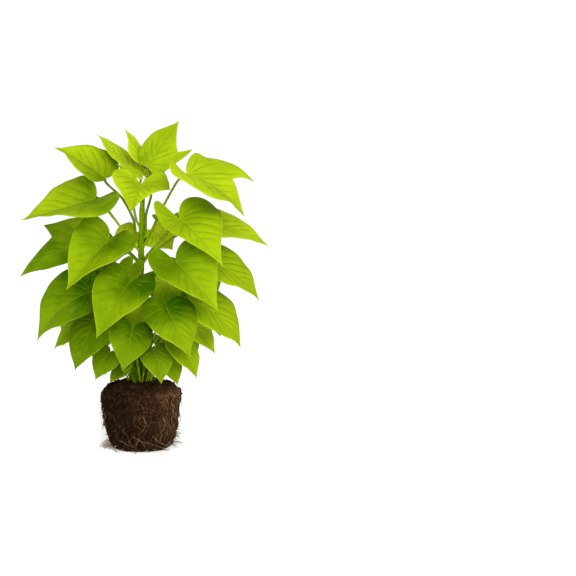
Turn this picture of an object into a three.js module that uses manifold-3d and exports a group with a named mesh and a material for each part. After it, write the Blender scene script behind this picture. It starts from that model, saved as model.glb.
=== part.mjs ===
// A sweet potato vine lifted out of its nursery pot: lime heart-shaped leaves on thin stalks
// round one upright stem, over a root-bound ball of soil. Millimetres, +Z up, front toward -Y.
import * as THREE from 'three';
import { mergeVertices } from 'three/addons/utils/BufferGeometryUtils.js';
import Module from 'manifold-3d';

const wasm = await Module();
wasm.setup();

// Driving dimensions
const gap = 0.3; // clearance between neighbours
const ball = {
  widest: 49.5, // radius at the shoulder
  shoulder: 64, // height of the shoulder
  height: 84, // top of the soil at the stem
  foot: 33, // radius of the flat underside
  relief: 1.3, // depth of the clods
  segments: 28,
};
const blade = { thickness: 0.8, hub: 0.1, valley: 0.06, lobes: 0.1, rings: 2 };
const stalk = {
  foot: 1.7, // radius at the stem or soil
  joint: 1.3, // radius under the blade
  thin: [1.5, 1.05], // the same for a stalk that comes out of the soil
  sides: 4,
  steps: 6,
  sunk: 12, // depth in the soil
  rise: 6, // height over the soil at which it starts to bend
  lean: 1.1, // how far it has leant out by then
  leave: { out: 6, up: 7 }, // first bend off the stem
  below: { back: 4, under: 5 }, // last bend, against the blade's joint
  into: { ahead: 1.5, up: 0.4 }, // end inside the blade
};
const stem = { foot: 3.6, top: 2.9, sides: 10, steps: 12, sunk: 16 };
const root = {
  radius: 1.0,
  taper: 0.7,
  sides: 3,
  steps: 6,
  bends: 5,
  count: 12,
  sunk: 0.35, // how far its axis is inside the soil
  spacing: 2.4, // radians from one to the next
  wave: 0.16, // radians it wanders to each side
  reach: 18, // how far the trailing ones spread past the foot
};

// Axis of the main stem, from inside the soil to the growing tip
const stemRoute = [
  [0, 0, ball.height - stem.sunk],
  [-0.5, 0.5, 130],
  [1.5, 0.5, 190],
  [2.5, 1.5, 250],
  [4.5, 1, 300],
  [6, 2, 326],
];

// Leaves. joint: where the stalk meets the blade. tip: end of the midrib. turn: degrees that the
// upper side is turned about the midrib, from facing up. half: widths left and right of the
// midrib as a share of the length. fold, arch, cup, lift: degrees that the halves rise, bow of the
// midrib, droop of the edges and rise of the lobes behind the joint. shape, shoulder, lobe, notch,
// swell: form of the outline.
// foot: height on the stem, or [degrees, radius] of the hole in the soil. via: points on the way.
const tiers = {
  crown: [
    { joint: [12, -3, 345], tip: [50, 2, 400], turn: -53, half: [0.36, 0.53], fold: 10, arch: 0.04,
      cup: 0.32, shape: ['heart', 'forward'], shoulder: 0.3, lobe: [0.03, 0.02], notch: 0.65,
      swell: 0.66, foot: 260, via: [[9, -3, 286], [16, -4, 314]] },
    { joint: [5, 28, 351], tip: [-19, 29, 390], turn: 10, half: [0.62, 0.27], fold: 24, arch: 0.02,
      cup: 0.42, lift: 0.19, shoulder: 0.33, lobe: [0.08, 0.13], foot: 322, via: [[13, 15, 338]] },
    { joint: [2, 13, 335], tip: [-53, 37, 382], turn: -2, half: [0.33, 0.46], fold: 14, arch: 0,
      cup: 0.31, shoulder: 0.39, lobe: [0.13, 0.14], foot: 270, via: [[-6, 6, 292], [-6, 11, 310]] },
    { joint: [-6, -12, 333], tip: [-24, -17, 350], turn: 60, half: [0.18, 0.18], fold: 25, arch: 0,
      shoulder: 0.35, foot: 318 },
    { joint: [4, -21, 324], tip: [-4, -61, 295], turn: 19, half: [0.74, 0.68], fold: 40, arch: 0.04,
      cup: 0.29, lift: 0.92, shape: ['cornered', 'heart'], shoulder: 0.17, lobe: [0.4, 0.16],
      foot: 292 },
  ],
  shoulder: [
    { joint: [-40, 1, 331], tip: [-102, 9, 368], turn: 18, half: [0.65, 0.49], fold: 35, arch: 0.04,
      cup: 0.3, lift: 0.68, shoulder: 0.23, lobe: 0.08, foot: 254,
      via: [[-6, -2, 280], [-20, -1, 307]] },
    { joint: [60, -13, 336], tip: [129, -26, 287], turn: -13, half: [0.6, 0.82], fold: 33, arch: 0.11,
      cup: 0.23, lift: 1.29, shape: ['forward', 'heart'], shoulder: 0.48, lobe: [0.2, 0.22],
      notch: 0.49, swell: 0.93, foot: 246, via: [[31, -5, 299]] },
    { joint: [-51, -17, 307], tip: [-136, -40, 284], turn: 19, half: [0.9, 0.46], fold: 30, arch: 0.01,
      cup: 0.18, lift: 0.64, shoulder: 0.1, lobe: [0.26, 0.08], foot: 240 },
    { joint: [-72, 27, 251], tip: [-150, 28, 207], turn: 41, half: [0.29, 0.68], fold: 0, arch: 0.06,
      cup: 0.06, shape: ['heart', 'sideways'], shoulder: 0.12, lobe: [0.2, 0.23], foot: 196 },
    { joint: [71, 16, 275], tip: [158, 29, 244], turn: -21, half: [0.49, 0.36], fold: 12, arch: 0.08,
      cup: 0.2, shoulder: 0.18, lobe: 0.2, foot: 226 },
  ],
  middle: [
    { joint: [-31, -53, 262], tip: [-78, -86, 207], turn: 27, half: [0.61, 0.45], fold: 45, arch: 0.04,
      cup: 0.46, lift: 0.64, shoulder: 0.01, lobe: [0.19, 0.18], foot: 224 },
    { joint: [53, -41, 284], tip: [106, -94, 235], turn: -35, half: [0.54, 0.24], fold: 28, arch: 0.12,
      cup: 0.72, lift: 1.25, shoulder: 0.01, lobe: [0.21, 0.37], foot: 224 },
    { joint: [49, -64, 237], tip: [100, -97, 184], turn: -32, half: [0.53, 0.46], fold: 33, arch: 0.04,
      cup: 0.24, lift: 1, shoulder: 0.02, lobe: [0.16, 0.27], foot: 186 },
    { joint: [-6, -65, 212], tip: [-40, -120, 155], turn: 23, half: [0.42, 0.39], fold: 39, arch: 0.07,
      cup: 0.44, lift: 0.84, shoulder: 0.16, lobe: [0.16, 0.17], foot: 190 },
    { joint: [38, -67, 183], tip: [68, -109, 131], turn: -16, half: [0.47, 0.4], fold: 7, arch: 0,
      cup: 0.36, lift: 0.31, shoulder: 0.05, lobe: [0.15, 0.26], foot: [300, 8] },
    { joint: [-57, -27, 196], tip: [-123, -23, 135], turn: 36, half: [0.51, 0.57], fold: 20,
      arch: 0.14, cup: 0.18, shoulder: 0.16, lobe: 0.19, foot: [200, 8] },
    { joint: [81, -8, 232], tip: [146, 9, 179], turn: -33, half: [0.58, 0.38], fold: 15, arch: 0.12,
      cup: 0.28, shoulder: 0.18, lobe: 0.2, foot: [355, 8] },
    { joint: [65, -29, 185], tip: [124, -24, 126], turn: -28, half: [0.6, 0.43], fold: 10, arch: 0.14,
      cup: 0.17, shoulder: 0.28, lobe: [0.1, 0.2], foot: [325, 8] },
  ],
  skirt: [
    { joint: [-52, -30, 160], tip: [-75, -45, 103], turn: 20, half: [0.5, 0.5], fold: 6, arch: 0.05,
      foot: [215, 12] },
    { joint: [-67, 8, 161], tip: [-108, 12, 119], turn: 32, half: [0.48, 0.48], fold: 8, arch: 0.04,
      foot: [175, 12] },
    { joint: [-4, -58, 157], tip: [-13, -89, 111], turn: 24, half: [0.46, 0.46], fold: 14, arch: 0.07,
      foot: [262, 10] },
    { joint: [21, -52, 130], tip: [31, -72, 92], turn: 0, half: [0.48, 0.48], fold: 14, arch: 0.06,
      foot: [285, 12] },
    { joint: [48, -34, 135], tip: [72, -50, 94], turn: -6, half: [0.44, 0.47], fold: 12, arch: 0.06,
      foot: [310, 12] },
    { joint: [61, 4, 154], tip: [92, 4, 114], turn: -30, half: [0.45, 0.45], fold: 12, arch: 0.06,
      foot: [5, 12] },
    { joint: [37, -8, 112], tip: [47, -22, 80], turn: -20, half: [0.34, 0.42], fold: 10, arch: 0.05,
      foot: [345, 15] },
    { joint: [-34, -30, 122], tip: [-51, -42, 91], turn: 30, half: [0.5, 0.5], fold: 10, arch: 0.05,
      foot: [232, 13] },
    { joint: [-18, -24, 102], tip: [-35, -34, 86], turn: 20, half: [0.5, 0.5], fold: 10, arch: 0.05,
      foot: [247, 14] },
    { joint: [44, 4, 120], tip: [53, 3, 99], turn: -40, half: [0.4, 0.4], fold: 10, arch: 0.05,
      foot: [20, 13] },
  ],
  inner: [
    { joint: [15, 38, 263], tip: [39, 28, 240], turn: -38, half: [0.7, 0.7], fold: 14, arch: 0.05,
      lobe: 0.26, foot: 236 },
    { joint: [-46, 6, 227], tip: [-74, 6, 186], turn: 40, half: [0.48, 0.48], fold: 10, arch: 0.05,
      foot: 200 },
    { joint: [-6, -26, 229], tip: [-26, -40, 190], turn: 20, half: [0.4, 0.4], fold: 10, arch: 0.05,
      foot: 212 },
    { joint: [33, -8, 206], tip: [38, -18, 168], turn: -10, half: [0.48, 0.48], fold: 10, arch: 0.05,
      foot: 180 },
    { joint: [2, -26, 181], tip: [-4, -34, 138], turn: 0, half: [0.48, 0.48], fold: 10, arch: 0.05,
      foot: 158 },
    { joint: [-9, 21, 262], tip: [-32, 16, 240], turn: 38, half: [0.7, 0.7], fold: 14, arch: 0.05,
      lobe: 0.26, foot: 228 },
    { joint: [-7, -16, 140], tip: [-14, -34, 129], turn: 10, half: [0.46, 0.46], fold: 12, arch: 0.05,
      foot: [240, 5.8] },
    { joint: [-12, -34, 113], tip: [-16, -48, 100], turn: 8, half: [0.46, 0.46], fold: 12, arch: 0.05,
      foot: [229, 9.3] },
    { joint: [9, -38, 141], tip: [12, -49, 123], turn: -6, half: [0.46, 0.46], fold: 12, arch: 0.05,
      foot: [261, 6.7] },
    { joint: [20, -7, 170], tip: [36, -12, 160], turn: -24, half: [0.46, 0.46], fold: 12, arch: 0.05,
      foot: [346, 5.7] },
    { joint: [-31, 0, 171], tip: [-47, -1, 152], turn: 25, half: [0.46, 0.46], fold: 12, arch: 0.05,
      foot: [193, 11.5] },
    { joint: [2, -17, 153], tip: [5, -37, 139], turn: -3, half: [0.46, 0.46], fold: 12, arch: 0.05,
      foot: [292, 5.7] },
    { joint: [-9, -15, 127], tip: [-14, -25, 108], turn: 13, half: [0.46, 0.46], fold: 12, arch: 0.05,
      foot: [245, 9.2] },
    { joint: [-13, -13, 159], tip: [-24, -24, 143], turn: 18, half: [0.46, 0.46], fold: 12, arch: 0.05,
      foot: [212, 5.7] },
  ],
  back: [
    { joint: [2, 38, 320], tip: [-4, 92, 300], turn: 0, half: [0.44, 0.44], fold: 20, arch: 0.05,
      foot: 286 },
    { joint: [-52, 46, 300], tip: [-96, 84, 282], turn: -10, half: [0.48, 0.48], fold: 18, arch: 0.05,
      foot: 240, via: [[-20, 38, 260]] },
    { joint: [36, 66, 276], tip: [56, 116, 242], turn: 6, half: [0.46, 0.46], fold: 18, arch: 0.05,
      foot: 222, via: [[22, 61, 252]] },
    { joint: [-38, 58, 246], tip: [-82, 94, 194], turn: -20, half: [0.5, 0.5], fold: 18, arch: 0.05,
      foot: 220 },
    { joint: [51, 66, 219], tip: [91, 104, 168], turn: 10, half: [0.5, 0.5], fold: 18, arch: 0.05,
      foot: 192 },
    { joint: [-14, 68, 198], tip: [-42, 116, 146], turn: -8, half: [0.5, 0.5], fold: 20, arch: 0.04,
      foot: 170 },
    { joint: [32, 66, 176], tip: [52, 110, 126], turn: 0, half: [0.5, 0.5], fold: 20, arch: 0.04,
      foot: [60, 8] },
    { joint: [-56, 40, 168], tip: [-104, 62, 114], turn: -30, half: [0.5, 0.5], fold: 14, arch: 0.07,
      foot: [160, 8] },
    { joint: [58, 30, 178], tip: [97, 48, 128], turn: 25, half: [0.5, 0.5], fold: 14, arch: 0.07,
      foot: [30, 8] },
    { joint: [-8, 56, 146], tip: [-16, 88, 102], turn: 0, half: [0.47, 0.47], fold: 14, arch: 0.07,
      foot: [110, 9] },
    { joint: [24, 48, 126], tip: [36, 70, 90], turn: 0, half: [0.48, 0.48], fold: 12, arch: 0.06,
      foot: [70, 12] },
    { joint: [-42, 40, 140], tip: [-66, 62, 96], turn: -10, half: [0.48, 0.48], fold: 12, arch: 0.06,
      foot: [140, 12] },
    { joint: [43, 40, 136], tip: [65, 60, 98], turn: 10, half: [0.48, 0.48], fold: 12, arch: 0.06,
      foot: [45, 12] },
    { joint: [-30, 22, 108], tip: [-48, 34, 82], turn: -10, half: [0.46, 0.46], fold: 12, arch: 0.06,
      foot: [152, 14.5] },
  ],
};

function vec(p) {
  return new THREE.Vector3(...p);
}

// Half outlines from the tip round to the stalk's joint, in shares of the blade's length

function heartSide({ half, shoulder, lobe }) {
  const side = new THREE.Path();
  side.moveTo(1, 0);
  side.bezierCurveTo(
    1 - 0.22 * (1 - shoulder), 0.1 * half,
    shoulder + 0.45 * (1 - shoulder), half,
    shoulder, half,
  );
  side.bezierCurveTo(
    shoulder - 0.6 * (shoulder + lobe), half, -lobe, 0.85 * half, -lobe, 0.48 * half,
  );
  side.bezierCurveTo(-lobe, 0.18 * half, -0.35 * lobe, 0.03 * half, 0, 0);
  return side;
}

// A side lobe that points forward past a notch
function forwardSide({ half, lobe, notch, swell }) {
  const side = new THREE.Path();
  side.moveTo(1, 0);
  side.quadraticCurveTo(0.8, 0.18 * half, 0.53, notch * half);
  side.quadraticCurveTo(0.57, 0.8 * half, 0.78, half);
  side.bezierCurveTo(0.5, half, 0.1, swell * half, -0.12, 0.72 * swell * half);
  side.bezierCurveTo(-lobe, 0.5 * half, -0.5 * lobe, 0.06 * half, 0, 0);
  return side;
}

// A side lobe that points away from the midrib
function sidewaysSide({ half, lobe }) {
  const side = new THREE.Path();
  side.moveTo(1, 0);
  side.quadraticCurveTo(0.68, 0.3 * half, 0.38, 0.5 * half);
  side.quadraticCurveTo(0.4, 0.72 * half, 0.45, half);
  side.bezierCurveTo(0.3, 0.86 * half, -0.05, 0.9 * half, -lobe, 0.55 * half);
  side.bezierCurveTo(-lobe, 0.2 * half, -0.35 * lobe, 0.03 * half, 0, 0);
  return side;
}

// A blunt corner at the shoulder
function corneredSide({ half, lobe }) {
  const side = new THREE.Path();
  side.moveTo(1, 0);
  side.quadraticCurveTo(0.4, 0.25 * half, 0.2, half);
  side.bezierCurveTo(0.05, 0.92 * half, -0.05, 0.95 * half, -0.15, 0.8 * half);
  side.bezierCurveTo(-1.3 * lobe, 0.6 * half, -0.6 * lobe, 0.05 * half, 0, 0);
  return side;
}

const shapes = {
  heart: { side: heartSide, steps: [4, 3, 2] },
  forward: { side: forwardSide, steps: [3, 2, 4, 2] },
  sideways: { side: sidewaysSide, steps: [3, 2, 3, 2] },
  cornered: { side: corneredSide, steps: [3, 2, 3] },
};

function sideOutline(shape, dims) {
  const { side, steps } = shapes[shape];
  const points = [new THREE.Vector2(1, 0)];
  side(dims).curves.forEach((curve, i) => points.push(...curve.getPoints(steps[i]).slice(1)));
  return points;
}

// Closed outline, counter-clockwise seen from the upper side, starting at the tip
function bladeOutline(leaf) {
  const { shape = ['heart', 'heart'], half, shoulder = 0.2, notch = 0.56, swell = 1 } = leaf;
  const { lobe = 0.2 } = leaf;
  const lobes = Array.isArray(lobe) ? lobe : [lobe, lobe];
  const [left, right] = [0, 1].map((k) =>
    sideOutline(shape[k], { half: half[k], shoulder, lobe: lobes[k], notch, swell }));
  const rightBack = right.slice(1, -1).reverse();
  return [...left, ...rightBack.map((p) => new THREE.Vector2(p.x, -p.y))];
}

function leafFrame({ joint, tip, turn }) {
  const origin = vec(joint);
  const along = vec(tip).sub(origin);
  const length = along.length();
  along.normalize();
  const face = new THREE.Vector3(0, 0, 1).addScaledVector(along, -along.z).normalize();
  face.applyAxisAngle(along, -THREE.MathUtils.degToRad(turn));
  const left = new THREE.Vector3().crossVectors(face, along);
  return { origin, along, left, face, length };
}

// Height of the blade over its chord: the midrib's bow, plus the halves' rise from a rounded
// valley, less their droop toward the edge, plus the lift of the basal lobes
function bladeHeight(u, v, { fold, arch, cup = 0.15, lift = 0 }) {
  const bow = u > 0 ? 4 * arch * u * (1 - u) : 3 * arch * u;
  const rise = Math.tan(THREE.MathUtils.degToRad(fold));
  const valley = Math.hypot(v, blade.valley) - blade.valley;
  return bow + rise * valley - 2 * cup * v * v + lift * Math.min(u - blade.lobes, 0) ** 2;
}

function bladePoint(u, v, lift, leaf, frame) {
  const height = bladeHeight(u, v, leaf) * frame.length + lift;
  return frame.origin.clone()
    .addScaledVector(frame.along, u * frame.length)
    .addScaledVector(frame.left, v * frame.length)
    .addScaledVector(frame.face, height);
}

// The blade is a fan round a hub on the midrib, alike on both faces and closed at the edge
function bladeSolid(leaf, frame) {
  const outline = bladeOutline(leaf);
  const n = outline.length;
  const points = [];
  for (const lift of [blade.thickness / 2, -blade.thickness / 2]) {
    points.push(bladePoint(blade.hub, 0, lift, leaf, frame));
    for (let ring = 1; ring <= blade.rings; ring++) {
      const share = ring / blade.rings;
      for (const p of outline) {
        const u = blade.hub + share * (p.x - blade.hub);
        points.push(bladePoint(u, share * p.y, lift, leaf, frame));
      }
    }
  }
  const layer = 1 + n * blade.rings;
  const faces = [];
  for (let i = 0; i < n; i++) {
    const j = (i + 1) % n;
    faces.push([0, 1 + i, 1 + j], [layer, layer + 1 + j, layer + 1 + i]);
    for (let ring = 1; ring < blade.rings; ring++) {
      const inner = 1 + n * (ring - 1);
      const outer = inner + n;
      for (const [base, flip] of [[0, false], [layer, true]]) {
        const quad = [[inner + i, outer + i, outer + j], [inner + i, outer + j, inner + j]];
        for (const face of quad) {
          const moved = face.map((k) => k + base);
          faces.push(flip ? moved.reverse() : moved);
        }
      }
    }
    const rim = layer - n;
    faces.push([rim + i, layer + rim + i, layer + rim + j], [rim + i, layer + rim + j, rim + j]);
  }
  return solidOf(points, faces);
}

function solidOf(points, faces) {
  const vertProperties = new Float32Array(points.flatMap((p) => [p.x, p.y, p.z]));
  const triVerts = new Uint32Array(faces.flat());
  return new wasm.Manifold(new wasm.Mesh({ numProp: 3, vertProperties, triVerts }));
}

// A tube that tapers along a smooth route, closed at both ends
function tubeSolid(route, radii, sides, steps) {
  const curve = new THREE.CatmullRomCurve3(route, false, 'centripetal');
  const { normals, binormals } = curve.computeFrenetFrames(steps, false);
  const points = [];
  const faces = [];
  for (let k = 0; k <= steps; k++) {
    const centre = curve.getPointAt(k / steps);
    const radius = THREE.MathUtils.lerp(radii[0], radii[1], k / steps);
    for (let i = 0; i < sides; i++) {
      const angle = (2 * Math.PI * i) / sides;
      points.push(centre.clone()
        .addScaledVector(normals[k], radius * Math.cos(angle))
        .addScaledVector(binormals[k], radius * Math.sin(angle)));
    }
  }
  for (let i = 0; i < sides; i++) {
    const j = (i + 1) % sides;
    for (let k = 0; k < steps; k++) {
      const a = k * sides;
      const b = a + sides;
      faces.push([a + i, a + j, b + j], [a + i, b + j, b + i]);
    }
    if (i > 0 && j > 0) {
      const last = steps * sides;
      faces.push([0, j, i], [last, last + i, last + j]);
    }
  }
  return solidOf(points, faces);
}

function stemSolid(extra) {
  return tubeSolid(stemRoute.map(vec), [stem.foot + extra, stem.top + extra], stem.sides, stem.steps);
}

const stemCurve = new THREE.CatmullRomCurve3(stemRoute.map(vec), false, 'centripetal');

function stemPointAt(height) {
  let low = 0;
  let high = 1;
  for (let k = 0; k < 20; k++) {
    const middle = (low + high) / 2;
    if (stemCurve.getPointAt(middle).z < height) low = middle;
    else high = middle;
  }
  return stemCurve.getPointAt(low);
}

// The stalk leaves the stem or the soil upward and comes to the joint from under the blade
function stalkRoute(leaf, frame) {
  const arrival = frame.origin.clone()
    .addScaledVector(frame.along, -stalk.below.back)
    .addScaledVector(frame.face, -stalk.below.under);
  const end = frame.origin.clone()
    .addScaledVector(frame.along, stalk.into.ahead)
    .addScaledVector(frame.face, stalk.into.up);
  const via = (leaf.via ?? []).map(vec);
  if (Array.isArray(leaf.foot)) {
    const [degrees, radius] = leaf.foot;
    const angle = THREE.MathUtils.degToRad(degrees);
    const x = radius * Math.cos(angle);
    const y = radius * Math.sin(angle);
    const buried = new THREE.Vector3(x, y, ball.height - stalk.sunk);
    const risen = new THREE.Vector3(stalk.lean * x, stalk.lean * y, ball.height + stalk.rise);
    return [buried, risen, ...via, arrival, end];
  }
  const start = stemPointAt(leaf.foot);
  const toward = via.length ? via[0].clone() : arrival.clone();
  const outward = toward.sub(start).setZ(0).normalize();
  const leaving = start.clone().addScaledVector(outward, stalk.leave.out);
  leaving.z += stalk.leave.up;
  return [start, leaving, ...via, arrival, end];
}

function stalkSolid(leaf, frame, extra) {
  const route = stalkRoute(leaf, frame);
  const radii = Array.isArray(leaf.foot) ? stalk.thin : [stalk.foot, stalk.joint];
  return tubeSolid(route, radii.map((radius) => radius + extra), stalk.sides, stalk.steps);
}

function leafSolid(leaf, stemClear) {
  const frame = leafFrame(leaf);
  const whole = bladeSolid(leaf, frame).add(stalkSolid(leaf, frame, 0));
  return Array.isArray(leaf.foot) ? whole : whole.subtract(stemClear);
}

// Soil: a lathe with clods, roots that wander down its side, and holes for what grows from it

const ballProfile = [
  [0, 0], [ball.foot, 0], [38, 4], [41.5, 12], [43.5, 22], [45.5, 33], [47, 45], [48.5, 55],
  [ball.widest, ball.shoulder], [48, 70], [41, 76.5], [28, 81], [12, ball.height], [0, ball.height],
];

function profileRadius(z) {
  const side = ballProfile.slice(1, -2);
  for (let k = 1; k < side.length; k++) {
    const [r0, z0] = side[k - 1];
    const [r1, z1] = side[k];
    if (z <= z1) return THREE.MathUtils.mapLinear(z, z0, z1, r0, r1);
  }
  return side.at(-1)[0];
}

// Clods and hollows, from three waves that cross
function relief(angle, z) {
  return 0.5 * Math.sin(5 * angle + 0.11 * z) + 0.45 * Math.sin(9 * angle - 0.2 * z + 1)
    + 0.35 * Math.sin(0.45 * z + 3 * angle + 2);
}

function soilSolid() {
  const turned = new THREE.LatheGeometry(
    ballProfile.map(([r, z]) => new THREE.Vector2(r, z)), ball.segments,
  );
  turned.rotateX(Math.PI / 2);
  turned.deleteAttribute('normal');
  turned.deleteAttribute('uv');
  const merged = mergeVertices(turned, 1e-3);
  const at = merged.attributes.position;
  const points = [];
  for (let k = 0; k < at.count; k++) {
    const p = new THREE.Vector3().fromBufferAttribute(at, k);
    const r = Math.hypot(p.x, p.y);
    if (r > 20 && p.z > 1) {
      const swell = (r + ball.relief * relief(Math.atan2(p.y, p.x), p.z)) / r;
      p.set(p.x * swell, p.y * swell, p.z);
    }
    points.push(p);
  }
  const faces = [];
  for (let k = 0; k < merged.index.count; k += 3) {
    const [a, b, c] = [0, 1, 2].map((i) => merged.index.getX(k + i));
    if (a !== b && b !== c && a !== c) faces.push([a, b, c]);
  }
  return solidOf(points, faces);
}

// Root k winds down the side from the shoulder, half sunk in the soil; every second one trails off
function rootSolid(k) {
  const start = root.spacing * k;
  const drift = 0.5 * Math.sin(1.7 * k + 0.5);
  const top = ball.shoulder - 4 - 6 * (k % 3);
  const bottom = 5 + 8 * (k % 2);
  const route = [];
  for (let i = 0; i <= root.bends; i++) {
    const share = i / root.bends;
    const z = THREE.MathUtils.lerp(top, bottom, share);
    const angle = start + drift * share + root.wave * Math.sin(4 * share * Math.PI + k);
    const swell = ball.relief * relief(angle, z);
    const r = profileRadius(z) + swell - root.sunk;
    route.push(new THREE.Vector3(r * Math.cos(angle), r * Math.sin(angle), z));
  }
  if (k % 2 === 0) {
    const spread = ball.foot + root.reach - k / 2;
    const angle = start + drift + 0.1 * k;
    const low = 1.2 * root.radius;
    route.push(new THREE.Vector3(spread * Math.cos(angle), spread * Math.sin(angle), low));
  }
  return tubeSolid(route, [root.radius, root.taper * root.radius], root.sides, root.steps);
}

function rootBallSolid(leaves, stemClear) {
  let solid = soilSolid();
  for (let k = 0; k < root.count; k++) solid = solid.add(rootSolid(k));
  solid = solid.subtract(stemClear);
  for (const leaf of leaves) {
    if (Array.isArray(leaf.foot)) solid = solid.subtract(stalkSolid(leaf, leafFrame(leaf), gap));
  }
  return solid;
}

// Colours
const slots = {
  young: new THREE.MeshStandardMaterial({ color: 0xa9c424, roughness: 0.55, metalness: 0 }),
  grown: new THREE.MeshStandardMaterial({ color: 0x8fb512, roughness: 0.55, metalness: 0 }),
  shaded: new THREE.MeshStandardMaterial({ color: 0x5f8c06, roughness: 0.6, metalness: 0 }),
  stem: new THREE.MeshStandardMaterial({ color: 0x6f9320, roughness: 0.6, metalness: 0 }),
  soil: new THREE.MeshStandardMaterial({ color: 0x3d2c1c, roughness: 0.95, metalness: 0 }),
};

function meshOf(name, solid, material) {
  const { vertProperties, triVerts } = solid.getMesh();
  const geometry = new THREE.BufferGeometry();
  geometry.setAttribute('position', new THREE.BufferAttribute(vertProperties, 3));
  geometry.setIndex(new THREE.BufferAttribute(triVerts, 1));
  geometry.computeVertexNormals();
  const mesh = new THREE.Mesh(geometry, material);
  mesh.name = name;
  return mesh;
}

const plant = new THREE.Group();
const stemClear = stemSolid(gap);
const leaves = Object.values(tiers).flat();
plant.add(meshOf('root_ball', rootBallSolid(leaves, stemClear), slots.soil));
plant.add(meshOf('main_stem', stemSolid(0), slots.stem));
const tints = {
  crown: 'young', shoulder: 'young', middle: 'grown', skirt: 'shaded', inner: 'shaded', back: 'shaded',
};
for (const [tier, list] of Object.entries(tiers)) {
  list.forEach((leaf, k) => {
    const name = `${tier}_leaf_${k + 1}`;
    plant.add(meshOf(name, leafSolid(leaf, stemClear), slots[tints[tier]]));
  });
}

export default plant;
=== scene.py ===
import math
import bpy
import mathutils
import numpy as np
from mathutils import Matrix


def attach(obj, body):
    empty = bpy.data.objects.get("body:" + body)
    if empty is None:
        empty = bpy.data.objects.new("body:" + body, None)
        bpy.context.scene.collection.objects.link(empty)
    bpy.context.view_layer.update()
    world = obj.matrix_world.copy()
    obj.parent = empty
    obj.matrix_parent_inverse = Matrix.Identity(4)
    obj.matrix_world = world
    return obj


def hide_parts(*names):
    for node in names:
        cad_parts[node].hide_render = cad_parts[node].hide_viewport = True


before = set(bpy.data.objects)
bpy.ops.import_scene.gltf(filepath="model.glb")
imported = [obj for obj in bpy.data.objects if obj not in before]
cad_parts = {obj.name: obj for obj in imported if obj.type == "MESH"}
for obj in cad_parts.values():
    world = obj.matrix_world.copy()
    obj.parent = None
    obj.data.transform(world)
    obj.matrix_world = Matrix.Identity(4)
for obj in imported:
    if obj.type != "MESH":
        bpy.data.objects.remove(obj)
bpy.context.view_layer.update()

mm = 0.001
print("frame loaded:", len(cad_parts), "nodes")


# Materials

def linearColour(hexColour):
    # each channel over 12.92 if it is dark, else (channel + 0.055) / 1.055 to the power 2.4
    channels = [int(hexColour[k:k + 2], 16) / 255 for k in (0, 2, 4)]
    return [c / 12.92 if c <= 0.04045 else ((c + 0.055) / 1.055) ** 2.4 for c in channels] + [1.0]


def fillSockets(tree, node, inputs):
    # each socket, by name or number, gets a value, a hex colour, a link, or a link from a node's first output
    for key, value in inputs.items():
        value = value.outputs[0] if isinstance(value, bpy.types.Node) else value
        if isinstance(value, bpy.types.NodeSocket):
            tree.links.new(value, node.inputs[key])
        else:
            node.inputs[key].default_value = linearColour(value) if isinstance(value, str) else value


def addNode(tree, kind, inputs=None, stops=(), **settings):
    # a node with its settings, its filled sockets and, on a ramp, stops of place and colour
    node = tree.nodes.new("ShaderNode" + kind)
    for key, value in settings.items():
        setattr(node, key, value)
    for stop in stops[2:]:  # a new ramp has two
        node.color_ramp.elements.new(0.5)
    for k, (at, colour) in enumerate(stops):
        node.color_ramp.elements[k].position = at
        node.color_ramp.elements[k].color = linearColour(colour)
    fillSockets(tree, node, inputs or {})
    return node


def startMaterial(name, roughness, specular):
    # a shader of that gloss, and the object's own coordinates for its patterns
    material = bpy.data.materials.new(name)
    material.use_nodes = True
    tree = material.node_tree
    shader = tree.nodes["Principled BSDF"]
    fillSockets(tree, shader, {"Roughness": roughness, "Specular IOR Level": specular})
    return material, tree, shader, addNode(tree, "TexCoord").outputs["Object"]


leafLook = {
    "veinWidth": (0.15, 1.1),  # mm, full depth and edge of a side vein; the real 0.6 mm would not show
    "coreWidth": 0.55,  # mm, its pale middle
    "runTogether": (1.5, 5.0),  # mm between side veins, where they fade
    "nearRim": (0.5, 12.0),  # mm from the margin, where they fade
    "nearTip": (0.35, 0.95),  # share of the leaf's length, where they fade to the share below
    "tipShare": 0.2,
    "ribWidth": (1.5, 0.45),  # mm, midrib at the stalk and at the tip
    "netCell": 3.2,  # mm, mesh of the finest veins
    "netWidth": 0.22,  # share of a mesh
    "rimWidth": 1.8,  # mm, pale margin
    "blotch": 22,  # mm, size of the slow changes of green
    "blotchTone": 0.12,
    "coreShare": 0.13,  # strength of each colour over the green
    "grooveShadeShare": 0.46,
    "ribShare": 0.14,
    "rimShare": 0.5,
    "relief": 0.42,  # mm, depth of the veins
    "netRelief": 0.12,  # share of that
    "specular": 0.004,
}


# groove: the colour of the painted shade in the grooves beside the side veins
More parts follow.
